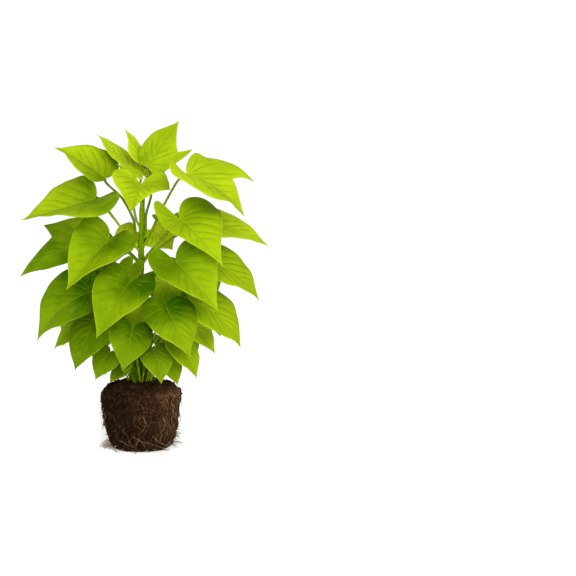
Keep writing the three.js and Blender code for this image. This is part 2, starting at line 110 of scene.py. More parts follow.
def leafMaterial(name, dark, light, groove, vein, rim, veinLift, roughness):
    # Living leaf skin: cells full of green under a thin wax, so a broad soft sheen. The veins are sunk in
    # the upper side and stand out below. "veins" holds vein number, mm between veins and mm from the midrib;
    # "form" holds the distance from the stalk as a share of the length, mm from the margin, and how light
    # the green is painted, as painted light and shade.
    look = leafLook
    material, tree, shader, place = startMaterial(name, roughness, look["specular"])
    (number, gap, fromRib), (alongRib, fromRim, paintedLightAndShade) = (
        addNode(tree, "SeparateXYZ", {
            0: addNode(tree, "Attribute", attribute_name=key).outputs["Vector"]}).outputs
        for key in ("veins", "form"))

    # mm to the nearest side vein, whose number is whole, and the way across the narrowing midrib
    nearest = addNode(tree, "Math", {0: number, 1: 0.5}, operation="PINGPONG")
    fromVein = addNode(tree, "Math", {0: nearest, 1: gap}, operation="MULTIPLY")
    ribWidth = addNode(tree, "MapRange", {0: alongRib, 3: look["ribWidth"][0], 4: look["ribWidth"][1]})
    acrossRib = addNode(tree, "Math", {0: fromRib, 1: ribWidth}, operation="DIVIDE")
    net = addNode(tree, "TexVoronoi", {
        "Vector": place, "Scale": 1 / (look["netCell"] * mm)}, feature="DISTANCE_TO_EDGE")

    # each goes smoothly from its first value to its second while what it reads goes from low to high
    line, apart, inside, rib, cells, core, pale = (
        addNode(tree, "MapRange", {0: reads, 1: low, 2: high, 3: first, 4: second},
                interpolation_type="SMOOTHSTEP")
        for reads, (low, high), first, second in (
            (fromVein, look["veinWidth"], 1, 0),
            (gap, look["runTogether"], 0, 1),
            (fromRim, look["nearRim"], 0, 1),
            (acrossRib, (0.1, 1), 1, 0),
            (net, (0, look["netWidth"]), 0, 1),
            (fromVein, (0, look["coreWidth"]), look["coreShare"], 0),
            (fromRim, (0, look["rimWidth"]), look["rimShare"], 0)))
    toTip = addNode(tree, "MapRange", {
        0: alongRib, 1: look["nearTip"][0], 2: look["nearTip"][1], 3: 1.0, 4: look["tipShare"]})
    sideVein = line
    for fade in (apart, inside, toTip):
        sideVein = addNode(tree, "Math", {0: sideVein, 1: fade}, operation="MULTIPLY")
    lines = addNode(tree, "Math", {0: sideVein, 1: rib}, operation="MAXIMUM")

    # green: the painted light and shade that "form" carries, with slow blotches
    blotches = addNode(tree, "TexNoise", {"Vector": place, "Scale": 1 / (look["blotch"] * mm), "Detail": 3.0})
    spread = addNode(tree, "MapRange", {
        0: blotches, 1: 0.3, 2: 0.7, 3: -look["blotchTone"], 4: look["blotchTone"]})
    tone = addNode(tree, "Math", {0: paintedLightAndShade, 1: spread}, operation="ADD", use_clamp=True)

    # over the green come painted shade in the grooves beside the veins, their pale middles with the midrib,
    # and the margin
    grooveShade, middle, ribbed, rimmed, lifted = (
        addNode(tree, "Math", {0: strength, 1: share}, operation="MULTIPLY")
        for strength, share in ((sideVein, look["grooveShadeShare"]), (core, sideVein), (rib, look["ribShare"]),
                                (pale, paintedLightAndShade), (lines, veinLift)))
    veined = addNode(tree, "Math", {0: ribbed, 1: middle}, operation="MAXIMUM")
    colour = dark
    for share, over in ((tone, light), (grooveShade, groove), (veined, vein), (rimmed, rim)):
        colour = addNode(tree, "Mix", {0: share, 6: colour, 7: over}, data_type="RGBA").outputs[2]
    height = addNode(tree, "Math", {0: cells, 1: look["netRelief"], 2: lifted}, operation="MULTIPLY_ADD")
    bump = addNode(tree, "Bump", {"Height": height, "Strength": 1.0, "Distance": look["relief"] * mm})
    fillSockets(tree, shader, {"Base Color": colour, "Normal": bump})
    return material


greens = {  # upper skin, from the darkest tone to the lightest
    "young_leaf": ("446400", "a0b414"),
    "grown_leaf": ("2c4e00", "849c0a"),
    "shaded_leaf": ("284600", "7a9408"),
    "backlit_leaf": ("5c7c06", "c0d420"),
}
leafSkins = {}
for key, (dark, light) in greens.items():
    leafSkins[key] = [
        leafMaterial(key + "_waxy_upper_skin", dark, light, "4f7602", "a9b83c", "a3b63a", -1.0, 0.5),
        leafMaterial(key + "_matt_under_skin", "54780a", "86a41c", "98b43c", "a4bc48", "a3b63a", 1.0, 0.6),
    ]

stalkLook = {
    "streak": (1.6, 0.12),  # mm across, and how much denser it is across than along
    "streakTone": 0.2,
    "relief": 0.15,  # mm
}


def stalkMaterial(name, dark, light):
    # Fleshy green stalk: smooth moist skin with faint streaks along it, over the tone it carries, which on
    # the leaf stalks is darkened near the soil as painted shade
    material, tree, shader, place = startMaterial(name, 0.5, 0.004)
    width, squeeze = stalkLook["streak"]
    drawn = addNode(tree, "Mapping", {"Vector": place, "Scale": (1.0, 1.0, squeeze)})
    grain = addNode(tree, "TexNoise", {"Vector": drawn, "Scale": 1 / (width * mm), "Detail": 2.0})
    form = addNode(tree, "SeparateXYZ", {
        0: addNode(tree, "Attribute", attribute_name="form").outputs["Vector"]})
    spread = addNode(tree, "MapRange", {
        0: grain, 1: 0.3, 2: 0.7, 3: -stalkLook["streakTone"], 4: stalkLook["streakTone"]})
    tone = addNode(tree, "Math", {0: form.outputs[2], 1: spread}, operation="ADD", use_clamp=True)
    green = addNode(tree, "Mix", {0: tone, 6: dark, 7: light}, data_type="RGBA")
    bump = addNode(tree, "Bump", {"Height": grain, "Strength": 0.6, "Distance": stalkLook["relief"] * mm})
    fillSockets(tree, shader, {"Base Color": green.outputs[2], "Normal": bump})
    return material


stalkSkin = stalkMaterial("fleshy_stalk_skin", "466400", "98ac20")
stemSkin = stalkMaterial("fleshy_stem_skin", "3e5e00", "708e06")

soilLook = {
    "crumb": 2.4,  # mm
    "clod": 14,
    "relief": 1.2,
    "stain": 4,  # mm, on the roots
    "stainShare": 0.6,
    "shadeTint": "948c7e",  # painted shade: what is left of a colour in full shade
}


def withPaintedShade(tree, colour):
    # the colour times the shade tint, by the painted shade share; below 0 it pales, as painted light
    paintedShade = addNode(tree, "Attribute", attribute_name="paintedShade").outputs["Fac"]
    return addNode(tree, "Mix", {0: paintedShade, 6: colour, 7: soilLook["shadeTint"]}, data_type="RGBA",
                   blend_type="MULTIPLY", clamp_factor=False).outputs[2]


def soilMaterial():
    # Peat potting mix, moist and pressed by a pot: dark matt crumbs with paler bark and coir, under painted
    # shade and painted light
    material, tree, shader, place = startMaterial("moist_peat_potting_mix", 0.95, 0.03)
    crumbs = addNode(tree, "TexNoise", {
        "Vector": place, "Scale": 1 / (soilLook["crumb"] * mm), "Detail": 5.0, "Roughness": 0.65})
    clods = addNode(tree, "TexNoise", {"Vector": place, "Scale": 1 / (soilLook["clod"] * mm), "Detail": 3.0})
    tone = addNode(tree, "Math", {0: crumbs, 1: clods}, operation="MULTIPLY")
    mix = addNode(tree, "ValToRGB", {0: tone}, stops=(
        (0.12, "0f0904"), (0.24, "27180d"), (0.36, "432b17"), (0.5, "6b492d")))
    bump = addNode(tree, "Bump", {"Height": crumbs, "Strength": 0.9, "Distance": soilLook["relief"] * mm})
    fillSockets(tree, shader, {"Base Color": withPaintedShade(tree, mix), "Normal": bump})
    return material


def rootMaterial(name, stops):
    # Root fibre: dry matt skin; each root has its own tone, from stained brown to clean tan, with painted
    # shade over it
    material, tree, shader, place = startMaterial(name, 0.85, 0.04)
    tone = addNode(tree, "Attribute", attribute_name="tone").outputs["Fac"]
    fibre = addNode(tree, "ValToRGB", {0: tone}, stops=stops)
    stains = addNode(tree, "TexNoise", {"Vector": place, "Scale": 1 / (soilLook["stain"] * mm)})
    stained = addNode(tree, "MapRange", {0: stains, 1: 0.35, 2: 0.65, 3: 0.0, 4: soilLook["stainShare"]})
    mixed = addNode(tree, "Mix", {0: stained, 6: fibre, 7: "1e110a"}, data_type="RGBA")
    fillSockets(tree, shader, {"Base Color": withPaintedShade(tree, mixed.outputs[2])})
    return material


soilSkin = soilMaterial()
fibreSkin = rootMaterial("dry_root_fibre", (
    (0.0, "21140b"), (0.5, "553923"), (0.85, "836142"), (1.0, "b59570")))
paleSkin = rootMaterial("pale_feeding_root", (
    (0.0, "5c4a38"), (0.4, "8e7c66"), (0.8, "b8a990"), (1.0, "d4c8b2")))
print("materials made")


# Shapes

def bezierCurve(corners, steps):
    # neighbouring corners are mixed by the share of the way along, again and again, until one point is left
    share = np.linspace(0, 1, steps + 1)[:, None]
    level = [np.asarray(corner, float) + 0 * share for corner in corners]
    while len(level) > 1:
        level = [a + share * (b - a) for a, b in zip(level, level[1:])]
    return level[0]


def smoothStep(value, low, high):
    # 3s^2 - 2s^3 of the share of the way from low to high
    share = np.clip((value - low) / (high - low), 0, 1)
    return share * share * (3 - 2 * share)


def unit(vectors):
    # each vector over its length
    return vectors / np.maximum(np.linalg.norm(vectors, axis=-1, keepdims=True), 1e-12)


def lengthAlong(line):
    # the running sum of the steps from point to point
    return np.concatenate([[0], np.cumsum(np.linalg.norm(np.diff(line, axis=0), axis=1))])


def smoothRoute(corners, steps):
    # Catmull-Rom curve whose pace between corners is the root of their distance, then spaced evenly
    corners = np.asarray(corners, float)
    ends = np.vstack([2 * corners[:1] - corners[1:2], corners, 2 * corners[-1:] - corners[-2:-1]])
    share = np.linspace(0, 1, 40)[:, None]
    pieces = [corners[:1]]
    for before, start, end, after in zip(ends, ends[1:], ends[2:], ends[3:]):
        pace = [np.sqrt(np.linalg.norm(b - a)) for a, b in ((before, start), (start, end), (end, after))]
        leave = ((start - before) / pace[0] - (end - before) / (pace[0] + pace[1])
                 + (end - start) / pace[1]) * pace[1]
        arrive = ((end - start) / pace[1] - (after - start) / (pace[1] + pace[2])
                  + (after - end) / pace[2]) * pace[1]
        piece = (start + leave * share + (3 * (end - start) - 2 * leave - arrive) * share ** 2
                 + (2 * (start - end) + leave + arrive) * share ** 3)
        pieces.append(piece[1:])
    line = np.vstack(pieces)
    length = lengthAlong(line)
    even = np.linspace(0, length[-1], steps + 1)
    return np.stack([np.interp(even, length, line[:, k]) for k in range(3)], axis=1)


def roundAxis(r, angle, z):
    # points at a radius, an angle and a height
    return np.stack(np.broadcast_arrays(r * np.cos(angle), r * np.sin(angle), z), axis=-1)


def gridTriangles(index):
    # two triangles for each cell of a grid of point numbers, or of several such grids
    low, high = index[..., :-1, :], index[..., 1:, :]
    cells = np.stack([low[..., :-1], low[..., 1:], high[..., 1:], high[..., :-1]], axis=-1)
    return np.concatenate([cells[..., [0, 1, 2]], cells[..., [0, 2, 3]]]).reshape(-1, 3)


def strands(lines, radii, sides):
    # circles round each line, set square to it, joined ring to ring and closed by a fan at both ends
    lines = np.asarray(lines, float)
    count, rings = lines.shape[:2]
    along = unit(np.gradient(lines, axis=1))
    across = np.cross(unit(lines[:, -1] - lines[:, 0]), [0, 0, 1.0])
    upright = np.linalg.norm(across, axis=1, keepdims=True) < 0.05
    across = np.where(upright, [1.0, 0, 0], across)[:, None]
    first = unit(across - np.sum(across * along, axis=2, keepdims=True) * along)
    second = np.cross(along, first)
    turn = 2 * np.pi * np.arange(sides) / sides
    circle = np.cos(turn)[:, None] * first[:, :, None] + np.sin(turn)[:, None] * second[:, :, None]
    points = lines[:, :, None] + np.asarray(radii)[:, :, None, None] * circle
    index = np.arange(count * rings * sides).reshape(count, rings, sides)
    walls = gridTriangles(np.concatenate([index, index[..., :1]], axis=2))
    fan, hub = np.arange(1, sides - 1), [0] * (sides - 2)
    start = np.stack([index[:, 0, hub], index[:, 0, fan + 1], index[:, 0, fan]], axis=-1)
    end = np.stack([index[:, -1, hub], index[:, -1, fan], index[:, -1, fan + 1]], axis=-1)
    return points.reshape(-1, 3), np.vstack([walls, start.reshape(-1, 3), end.reshape(-1, 3)])


def makePiece(name, nodeName, skins, points, faces, attributes, skinNumber=0, flat=False):
    # one mesh of triangles, its place in its points. Triangles whose corners fall together and points that
    # no triangle uses are left out; rows of attributes go with the points.
    skinNumber, flat = (np.broadcast_to(value, len(faces)) for value in (skinNumber, flat))
    whole = (faces != np.roll(faces, 1, axis=1)).all(axis=1)
    used, corners = np.unique(faces[whole], return_inverse=True)
    count = int(whole.sum())
    mesh = bpy.data.meshes.new(name)
    mesh.vertices.add(len(used))
    mesh.vertices.foreach_set("co", (points[used] * mm).astype(np.float32).ravel())
    mesh.loops.add(3 * count)
    mesh.loops.foreach_set("vertex_index", corners.astype(np.int32).ravel())
    mesh.polygons.add(count)
    mesh.polygons.foreach_set("loop_start", np.arange(0, 3 * count, 3, dtype=np.int32))
    for skin in skins:
        mesh.materials.append(skin)
    mesh.polygons.foreach_set("material_index", skinNumber[whole].astype(np.int32))
    mesh.polygons.foreach_set("use_smooth", ~flat[whole])
    for key, values in attributes.items():
        kind, field = ("FLOAT_VECTOR", "vector") if values.ndim == 2 else ("FLOAT", "value")
        layer = mesh.attributes.new(key, kind, "POINT")
        layer.data.foreach_set(field, values[used].astype(np.float32).ravel())
    mesh.update(calc_edges=True)
    piece = bpy.data.objects.new(name, mesh)
    bpy.context.scene.collection.objects.link(piece)
    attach(piece, "root")
    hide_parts(nodeName)
    return count


# Leaf blades

blade = {
    "thickness": 0.45,  # mm, at the midrib
    "edge": 0.3,  # mm, at the margin
    "valley": 0.06,  # rounding of the fold, as a share of the length
    "veinStep": 0.17,  # side veins along the midrib, as a share of the length
    "stray": 0.08,  # how far they wander, as a share of the step
    "veinCurve": (0.72, 0.7, 9.0),  # forward for each step out, bend toward the tip, and its growth
    "lobeCurve": (1.25, 0.0, 0.0),  # the same in a lobe that points forward, where veins run straight
    "fanStep": 30,  # degrees between the veins that spread from the stalk
    "alternate": 0.37,  # step between the two halves' veins
    "quilt": 0.9,  # mm, that the blade swells between its veins
    "groove": 0.6,  # mm, midrib sunk above and raised below
    "grooveWidth": 1.3,  # mm
    "wave": 0.7,  # mm, at the margin
    "waveBand": 0.16,  # how far in from the margin it reaches, as a share of the length
    "fullLength": 80,  # mm; a shorter blade swells and waves less
    "rows": 28,  # grid of a blade of 90 mm: along the midrib, round the lobe and across
    "fanRows": 26,
    "columns": 16,
}

# Leaves. joint: where the stalk meets the blade. tip: end of the midrib. foot: height on the stem, or
# degrees and mm round it where the stalk rises from the soil. via: points that the stalk passes. turn:
# degrees that the upper side is turned about the midrib, from facing up. half: widths left and right of
# the midrib as a share of the length. fold, arch, cup, lift: degrees that the halves rise, bow of the
# midrib, droop of the edges and rise of the lobes behind the joint. shape, shoulder, lobe, notch, swell:
# form of the outline. tone: painted light and shade, how light the green is painted from 0 to 1, at the
# tip and on each basal lobe, darker where a leaf lies in shade and lighter where light falls on it. One
# number stands for both halves; as tone it is the tip's, and the lobes have the painted lobe shade below.
usualLeaf = dict(via=(), turn=0, half=0.5, fold=12, arch=0.05, cup=0.15, lift=0, shape=("heart", "heart"),
                 shoulder=0.2, lobe=0.2, notch=0.56, swell=1, tone=0.5)
# painted shade on the basal lobes of leaves that give a single tone
shadedLobeTone = 0.05
leafTiers = {
    "crown": [
        dict(joint=(12, -3, 345), tip=(50, 2, 400), foot=260, via=((9, -3, 286), (16, -4, 314)), turn=-53,
             half=(0.36, 0.53), fold=10, arch=0.04, cup=0.32, shape=("heart", "forward"), shoulder=0.3,
             lobe=(0.03, 0.02), notch=0.65, swell=0.66, tone=(0.45, 0.4, 0.5)),
        dict(joint=(5, 28, 351), tip=(-19, 29, 390), foot=322, via=((13, 15, 338),), turn=10,
             half=(0.62, 0.27), fold=24, arch=0.02, cup=0.42, lift=0.19, shoulder=0.33, lobe=(0.08, 0.13),
             tone=(0.95, 0.8, 0.9)),
        dict(joint=(2, 13, 335), tip=(-53, 37, 382), foot=270, via=((-6, 6, 292), (-6, 11, 310)), turn=-2,
             half=(0.33, 0.46), fold=14, arch=0, cup=0.31, shoulder=0.39, lobe=(0.13, 0.14),
             tone=(1.0, 1.0, 1.0)),
        dict(joint=(-6, -12, 333), tip=(-24, -17, 350), foot=318, turn=60, half=0.18, fold=25, arch=0,
             shoulder=0.35),
        dict(joint=(4, -21, 324), tip=(-4, -61, 295), foot=292, turn=19, half=(0.74, 0.68), fold=40,
             arch=0.04, cup=0.29, lift=0.92, shape=("cornered", "heart"), shoulder=0.17, lobe=(0.4, 0.16),
             tone=(0.8, 0.5, 0.65)),
    ],
    "shoulder": [
        dict(joint=(-40, 1, 331), tip=(-102, 9, 368), foot=254, via=((-6, -2, 280), (-20, -1, 307)),
             turn=18, half=(0.65, 0.49), fold=35, arch=0.04, cup=0.3, lift=0.68, shoulder=0.23, lobe=0.08,
             tone=(0.68, 0.3, 0.42)),
        dict(joint=(60, -13, 336), tip=(129, -26, 287), foot=246, via=((31, -5, 299),), turn=-13,
             half=(0.6, 0.82), fold=33, arch=0.11, cup=0.23, lift=1.29, shape=("forward", "heart"),
             shoulder=0.48, lobe=(0.2, 0.22), notch=0.49, swell=0.93, tone=(0.75, 0.7, 1.0)),
        dict(joint=(-51, -17, 307), tip=(-136, -40, 284), foot=240, turn=19, half=(0.9, 0.46), fold=30,
             arch=0.01, cup=0.18, lift=0.64, shoulder=0.1, lobe=(0.26, 0.08), tone=(0.52, 0.2, 0.3)),
        dict(joint=(-72, 27, 251), tip=(-150, 28, 207), foot=196, turn=41, half=(0.29, 0.68), fold=0,
             arch=0.06, cup=0.06, shape=("heart", "sideways"), shoulder=0.12, lobe=(0.2, 0.23),
             tone=(0.08, 0.03, 0.3)),
        dict(joint=(71, 16, 275), tip=(158, 29, 244), foot=226, turn=-21, half=(0.49, 0.36), arch=0.08,
             cup=0.2, shoulder=0.18, tone=(0.9, 0.7, 0.8)),
    ],
    "middle": [
        dict(joint=(-31, -53, 262), tip=(-78, -86, 207), foot=224, turn=27, half=(0.61, 0.45), fold=45,
             arch=0.04, cup=0.46, lift=0.64, shoulder=0.01, lobe=(0.19, 0.18), tone=(0.65, 0.2, 0.45)),
        dict(joint=(53, -41, 284), tip=(106, -94, 235), foot=224, turn=-35, half=(0.54, 0.24), fold=28,
             arch=0.12, cup=0.72, lift=1.25, shoulder=0.01, lobe=(0.21, 0.37), tone=(0.9, 0.6, 0.85)),
        dict(joint=(49, -64, 237), tip=(100, -97, 184), foot=186, turn=-32, half=(0.53, 0.46), fold=33,
             arch=0.04, cup=0.24, lift=1, shoulder=0.02, lobe=(0.16, 0.27), tone=(0.75, 0.3, 0.27)),
        dict(joint=(-6, -65, 212), tip=(-40, -120, 155), foot=190, turn=23, half=(0.42, 0.39), fold=39,
             arch=0.07, cup=0.44, lift=0.84, shoulder=0.16, lobe=(0.16, 0.17), tone=(0.55, 0.0, 0.3)),
        dict(joint=(38, -67, 183), tip=(68, -109, 131), foot=(300, 8), turn=-16, half=(0.47, 0.4), fold=7,
             arch=0, cup=0.36, lift=0.31, shoulder=0.05, lobe=(0.15, 0.26), tone=(0.62, -0.05, 0.15)),
        dict(joint=(-57, -27, 196), tip=(-123, -23, 135), foot=(200, 8), turn=36, half=(0.51, 0.57),
             fold=20, arch=0.14, cup=0.18, shoulder=0.16, lobe=0.19, tone=0.4),
        dict(joint=(81, -8, 232), tip=(146, 9, 179), foot=(355, 8), turn=-33, half=(0.58, 0.38), fold=15,
             arch=0.12, cup=0.28, shoulder=0.18, tone=(1.0, 0.8, 0.8)),
        dict(joint=(65, -29, 185), tip=(124, -24, 126), foot=(325, 8), turn=-28, half=(0.6, 0.43), fold=10,
             arch=0.14, cup=0.17, shoulder=0.28, lobe=(0.1, 0.2), tone=(0.95, 0.75, 0.85)),
    ],
    "skirt": [
        dict(joint=(-52, -30, 160), tip=(-75, -45, 103), foot=(215, 12), turn=20, fold=6,
             tone=(0.32, 0.35, 0.4)),
        dict(joint=(-67, 8, 161), tip=(-108, 12, 119), foot=(175, 12), turn=32, half=0.48, fold=8,
             arch=0.04, tone=(0.68, 0.3, 0.3)),
        dict(joint=(-4, -58, 157), tip=(-13, -89, 111), foot=(262, 10), turn=24, half=0.46, fold=14,
             arch=0.07, tone=(0.45, 0.05, 0.2)),
        dict(joint=(21, -52, 130), tip=(31, -72, 92), foot=(285, 12), half=0.48, fold=14, arch=0.06,
             tone=(0.55, 0.35, 0.1)),
        dict(joint=(48, -34, 135), tip=(72, -50, 94), foot=(310, 12), turn=-6, half=(0.44, 0.47),
             arch=0.06, tone=(1.0, 0.6, 0.6)),
        dict(joint=(61, 4, 154), tip=(92, 4, 114), foot=(5, 12), turn=-30, half=0.45, arch=0.06,
             tone=(0.4, 1.0, 0.6), skin="backlit_leaf"),
        dict(joint=(37, -8, 112), tip=(47, -22, 80), foot=(345, 15), turn=-20, half=(0.34, 0.42), fold=10,
             tone=(0.68, 0.7, 0.35)),
        dict(joint=(-34, -30, 122), tip=(-51, -42, 91), foot=(232, 13), turn=30, fold=10,
             tone=(0.5, 0.5, 0.5)),
        dict(joint=(-18, -24, 102), tip=(-35, -34, 86), foot=(247, 14), turn=20, fold=10,
             tone=(0.5, 0.6, 0.6)),
        dict(joint=(44, 4, 120), tip=(53, 3, 99), foot=(20, 13), turn=-40, half=0.4, fold=10),
    ],
    "inner": [
        dict(joint=(15, 38, 263), tip=(39, 28, 240), foot=236, turn=-38, half=0.7, fold=14, lobe=0.26,
             tone=(0.85, 0.95, 0.85), skin="backlit_leaf"),
        dict(joint=(-46, 6, 227), tip=(-74, 6, 186), foot=200, turn=40, half=0.48, fold=10, tone=0.3),
        dict(joint=(-6, -26, 229), tip=(-26, -40, 190), foot=212, turn=20, half=0.4, fold=10,
             tone=(0.6, 0.5, 0.5)),
        dict(joint=(33, -8, 206), tip=(38, -18, 168), foot=180, turn=-10, half=0.48, fold=10,
             tone=(0.02, 0.8, 0.7), skin="backlit_leaf"),
        dict(joint=(2, -26, 181), tip=(-4, -34, 138), foot=158, half=0.48, fold=10, tone=(0.2, 0.25, 1.0),
             skin="young_leaf"),
        dict(joint=(-9, 21, 262), tip=(-32, 16, 240), foot=228, turn=38, half=0.7, fold=14, lobe=0.26,
             tone=(1.0, 0.9, 0.9), skin="young_leaf"),
        dict(joint=(-7, -16, 140), tip=(-14, -34, 129), foot=(240, 5.8), turn=10, half=0.46, tone=0.4),
        dict(joint=(-12, -34, 113), tip=(-16, -48, 100), foot=(229, 9.3), turn=8, half=0.46, tone=0.4),
        dict(joint=(9, -38, 141), tip=(12, -49, 123), foot=(261, 6.7), turn=-6, half=0.46, tone=0.4),
        dict(joint=(20, -7, 170), tip=(36, -12, 160), foot=(346, 5.7), turn=-24, half=0.46, tone=0.4),
        dict(joint=(-31, 0, 171), tip=(-47, -1, 152), foot=(193, 11.5), turn=25, half=0.46, tone=0.4),
        dict(joint=(2, -17, 153), tip=(5, -37, 139), foot=(292, 5.7), turn=-3, half=0.46, tone=0.4),
        dict(joint=(-9, -15, 127), tip=(-14, -25, 108), foot=(245, 9.2), turn=13, half=0.46, tone=0.4),
        dict(joint=(-13, -13, 159), tip=(-24, -24, 143), foot=(212, 5.7), turn=18, half=0.46, tone=0.4),
    ],
    "back": [
        dict(joint=(2, 38, 320), tip=(-4, 92, 300), foot=286, half=0.44, fold=20, tone=(0.9, 0.8, 0.8)),
        dict(joint=(-52, 46, 300), tip=(-96, 84, 282), foot=240, via=((-20, 38, 260),), turn=-10,
             half=0.48, fold=18, tone=0.7),
        dict(joint=(36, 66, 276), tip=(56, 116, 242), foot=222, via=((22, 61, 252),), turn=6, half=0.46,
             fold=18, tone=(0.9, 0.8, 0.8)),
        dict(joint=(-38, 58, 246), tip=(-82, 94, 194), foot=220, turn=-20, fold=18),
        dict(joint=(51, 66, 219), tip=(91, 104, 168), foot=192, turn=10, fold=18, tone=0.7),
        dict(joint=(-14, 68, 198), tip=(-42, 116, 146), foot=170, turn=-8, fold=20, arch=0.04),
        dict(joint=(32, 66, 176), tip=(52, 110, 126), foot=(60, 8), fold=20, arch=0.04),
        dict(joint=(-56, 40, 168), tip=(-104, 62, 114), foot=(160, 8), turn=-30, fold=14, arch=0.07),
        dict(joint=(58, 30, 178), tip=(97, 48, 128), foot=(30, 8), turn=25, fold=14, arch=0.07, tone=0.6),
        dict(joint=(-8, 56, 146), tip=(-16, 88, 102), foot=(110, 9), half=0.47, fold=14, arch=0.07),
        dict(joint=(24, 48, 126), tip=(36, 70, 90), foot=(70, 12), half=0.48, arch=0.06),
        dict(joint=(-42, 40, 140), tip=(-66, 62, 96), foot=(140, 12), turn=-10, half=0.48, arch=0.06),
        dict(joint=(43, 40, 136), tip=(65, 60, 98), foot=(45, 12), turn=10, half=0.48, arch=0.06),
        dict(joint=(-30, 22, 108), tip=(-48, 34, 82), foot=(152, 14.5), turn=-10, half=0.46, arch=0.06),
    ],
}


def halfOutline(shape, half, shoulder, lobe, notch, swell):
    # Bezier curves from the tip round one half to the stalk, each from the end of the one before: places
    # along the midrib, and aside as a share of the half's width. Also where the corners between them are.
    curves = {
        "heart": [
            [(1 - 0.22 * (1 - shoulder), 0.1), (shoulder + 0.45 * (1 - shoulder), 1), (shoulder, 1)],
            [(shoulder - 0.6 * (shoulder + lobe), 1), (-lobe, 0.85), (-lobe, 0.48)],
            [(-lobe, 0.18), (-0.35 * lobe, 0.03), (0, 0)],
        ],
        "forward": [
            [(0.8, 0.18), (0.53, notch)],
            [(0.57, 0.8), (0.78, 1)],
            [(0.5, 1), (0.1, swell), (-0.12, 0.72 * swell)],
            [(-lobe, 0.5), (-0.5 * lobe, 0.06), (0, 0)],
        ],
        "sideways": [
            [(0.68, 0.3), (0.38, 0.5)],
            [(0.4, 0.72), (0.45, 1)],
            [(0.3, 0.86), (-0.05, 0.9), (-lobe, 0.55)],
            [(-lobe, 0.2), (-0.35 * lobe, 0.03), (0, 0)],
        ],
        "cornered": [
            [(0.4, 0.25), (0.2, 1)],
            [(0.05, 0.92), (-0.05, 0.95), (-0.15, 0.8)],
            [(-1.3 * lobe, 0.6), (-0.6 * lobe, 0.05), (0, 0)],
        ],
    }[shape]
    steps = 60
    starts = [(1, 0)] + [curve[-1] for curve in curves]
    parts = [bezierCurve([start] + curve, steps)[:-1] for start, curve in zip(starts, curves)]
    return np.vstack(parts + [(0, 0)]) * [1, half], np.arange(1, len(curves)) * steps


def veinStart(u, v, curve):
    # where on the midrib the vein through a place starts: m of u = m + slope v + (bend + growth m) v^2
    slope, bend, growth = curve
    return (u - slope * v - bend * v * v) / (1 + growth * v * v)


def sideOf(leaf, side):
    # the outline of one half, its corners, the curve of its veins and where those through the outline start
    half, lobe = (np.broadcast_to(leaf[key], 2)[side] for key in ("half", "lobe"))
    shape = leaf["shape"][side]
    line, corners = halfOutline(shape, half, leaf["shoulder"], lobe, leaf["notch"], leaf["swell"])
    curve = blade["lobeCurve"] if shape == "forward" else blade["veinCurve"]
    return {"line": line, "corners": corners, "curve": curve, "start": veinStart(*line.T, curve)}


def midribRows(halves, count):
    # even places on the midrib, and those where the veins to even places and corners of the outline start
    places = [np.linspace(1, 0, count)]
    for half in halves:
        step = lengthAlong(half["line"])
        even = np.interp(np.linspace(0, step[-1], 2 * count), step, half["start"])
        places += [even[(even > 0) & (even < 1)], half["start"][half["corners"]]]
    rows = np.sort(np.concatenate(places))[::-1]
    rows = rows[(rows >= 0) & (rows <= 1)]
    rows = rows[np.concatenate([[True], -np.diff(rows) > 1e-4])]
    rows[0], rows[-1] = 1, 0
    return rows


def halfGrid(half, rows, columns, fanRows):
    # rows follow the side veins: u = m + t(x - m - c y^2) + c(ty)^2 and v = ty, with c = bend + growth m,
    # from the midrib at m to the outline at (x, y); the last rows have m = 0 and fan round the basal lobe
    slope, bend, growth = half["curve"]
    step = lengthAlong(half["line"])
    falling = np.minimum.accumulate(half["start"]) - 1e-7 * np.arange(len(step))
    crossing = np.interp(-rows, -falling, step)
    at = np.concatenate([crossing, np.linspace(crossing[-1], step[-1], fanRows + 1)[1:]])
    x, y = (np.interp(at, step, values)[:, None] for values in half["line"].T)
    midrib = np.concatenate([rows, np.zeros(fanRows)])[:, None]
    curve = bend + growth * midrib
    v = columns * y
    return midrib + columns * (x - midrib - curve * y * y) + curve * v * v, v


def bladeHeight(u, v, leaf):
    # bow of the midrib, plus the halves' rise from a rounded valley, less the droop of their edges, plus
    # the square of the way back from the stalk, by which the basal lobes lift
    bow = np.where(u > 0, 4 * leaf["arch"] * u * (1 - u), 3 * leaf["arch"] * u)
    bow = bow + leaf["lift"] * np.minimum(u - 0.1, 0) ** 2
    valley = np.hypot(v, blade["valley"]) - blade["valley"]
    return bow + math.tan(math.radians(leaf["fold"])) * valley - 2 * leaf["cup"] * v * v


def leafFrame(leaf):
    # along the midrib, then up made square to it and turned about it, then left of both
    joint, tip = np.array(leaf["joint"], float), np.array(leaf["tip"], float)
    length = np.linalg.norm(tip - joint)
    along = (tip - joint) / length
    up = unit(np.array([0, 0, 1.0]) - along[2] * along)
    turn = math.radians(leaf["turn"])
    face = up * math.cos(turn) + np.cross(up, along) * math.sin(turn)
    return joint, length, along, np.cross(face, along), face


def veinNumbers(u, v, side, curve, phases):
    # ahead of the stalk the vein's start over the step between veins, behind it the angle over the fan's
    # step, each with a slow stray; and mm to the next vein as a share of the length, square to the veins
    slope, bend, growth = curve
    start = veinStart(u, v, curve)
    bent = u - bend * v * v
    fanStep = math.radians(blade["fanStep"])
    number = np.where(start >= 0, start / blade["veinStep"],
                      (math.atan2(1, slope) - np.arctan2(v, bent)) / fanStep) + blade["alternate"] * side
    stray = np.sin(11 * u + 5 * v + phases[0]) + np.sin(19 * u - 13 * v + phases[1])
    run = slope + 2 * (bend + growth * np.maximum(start, 0)) * v
    gap = np.where(start >= 0, blade["veinStep"] * (1 + growth * v * v) / np.sqrt(1 + run ** 2),
                   np.hypot(v, bent) * fanStep)
    return number + blade["stray"] * stray, gap


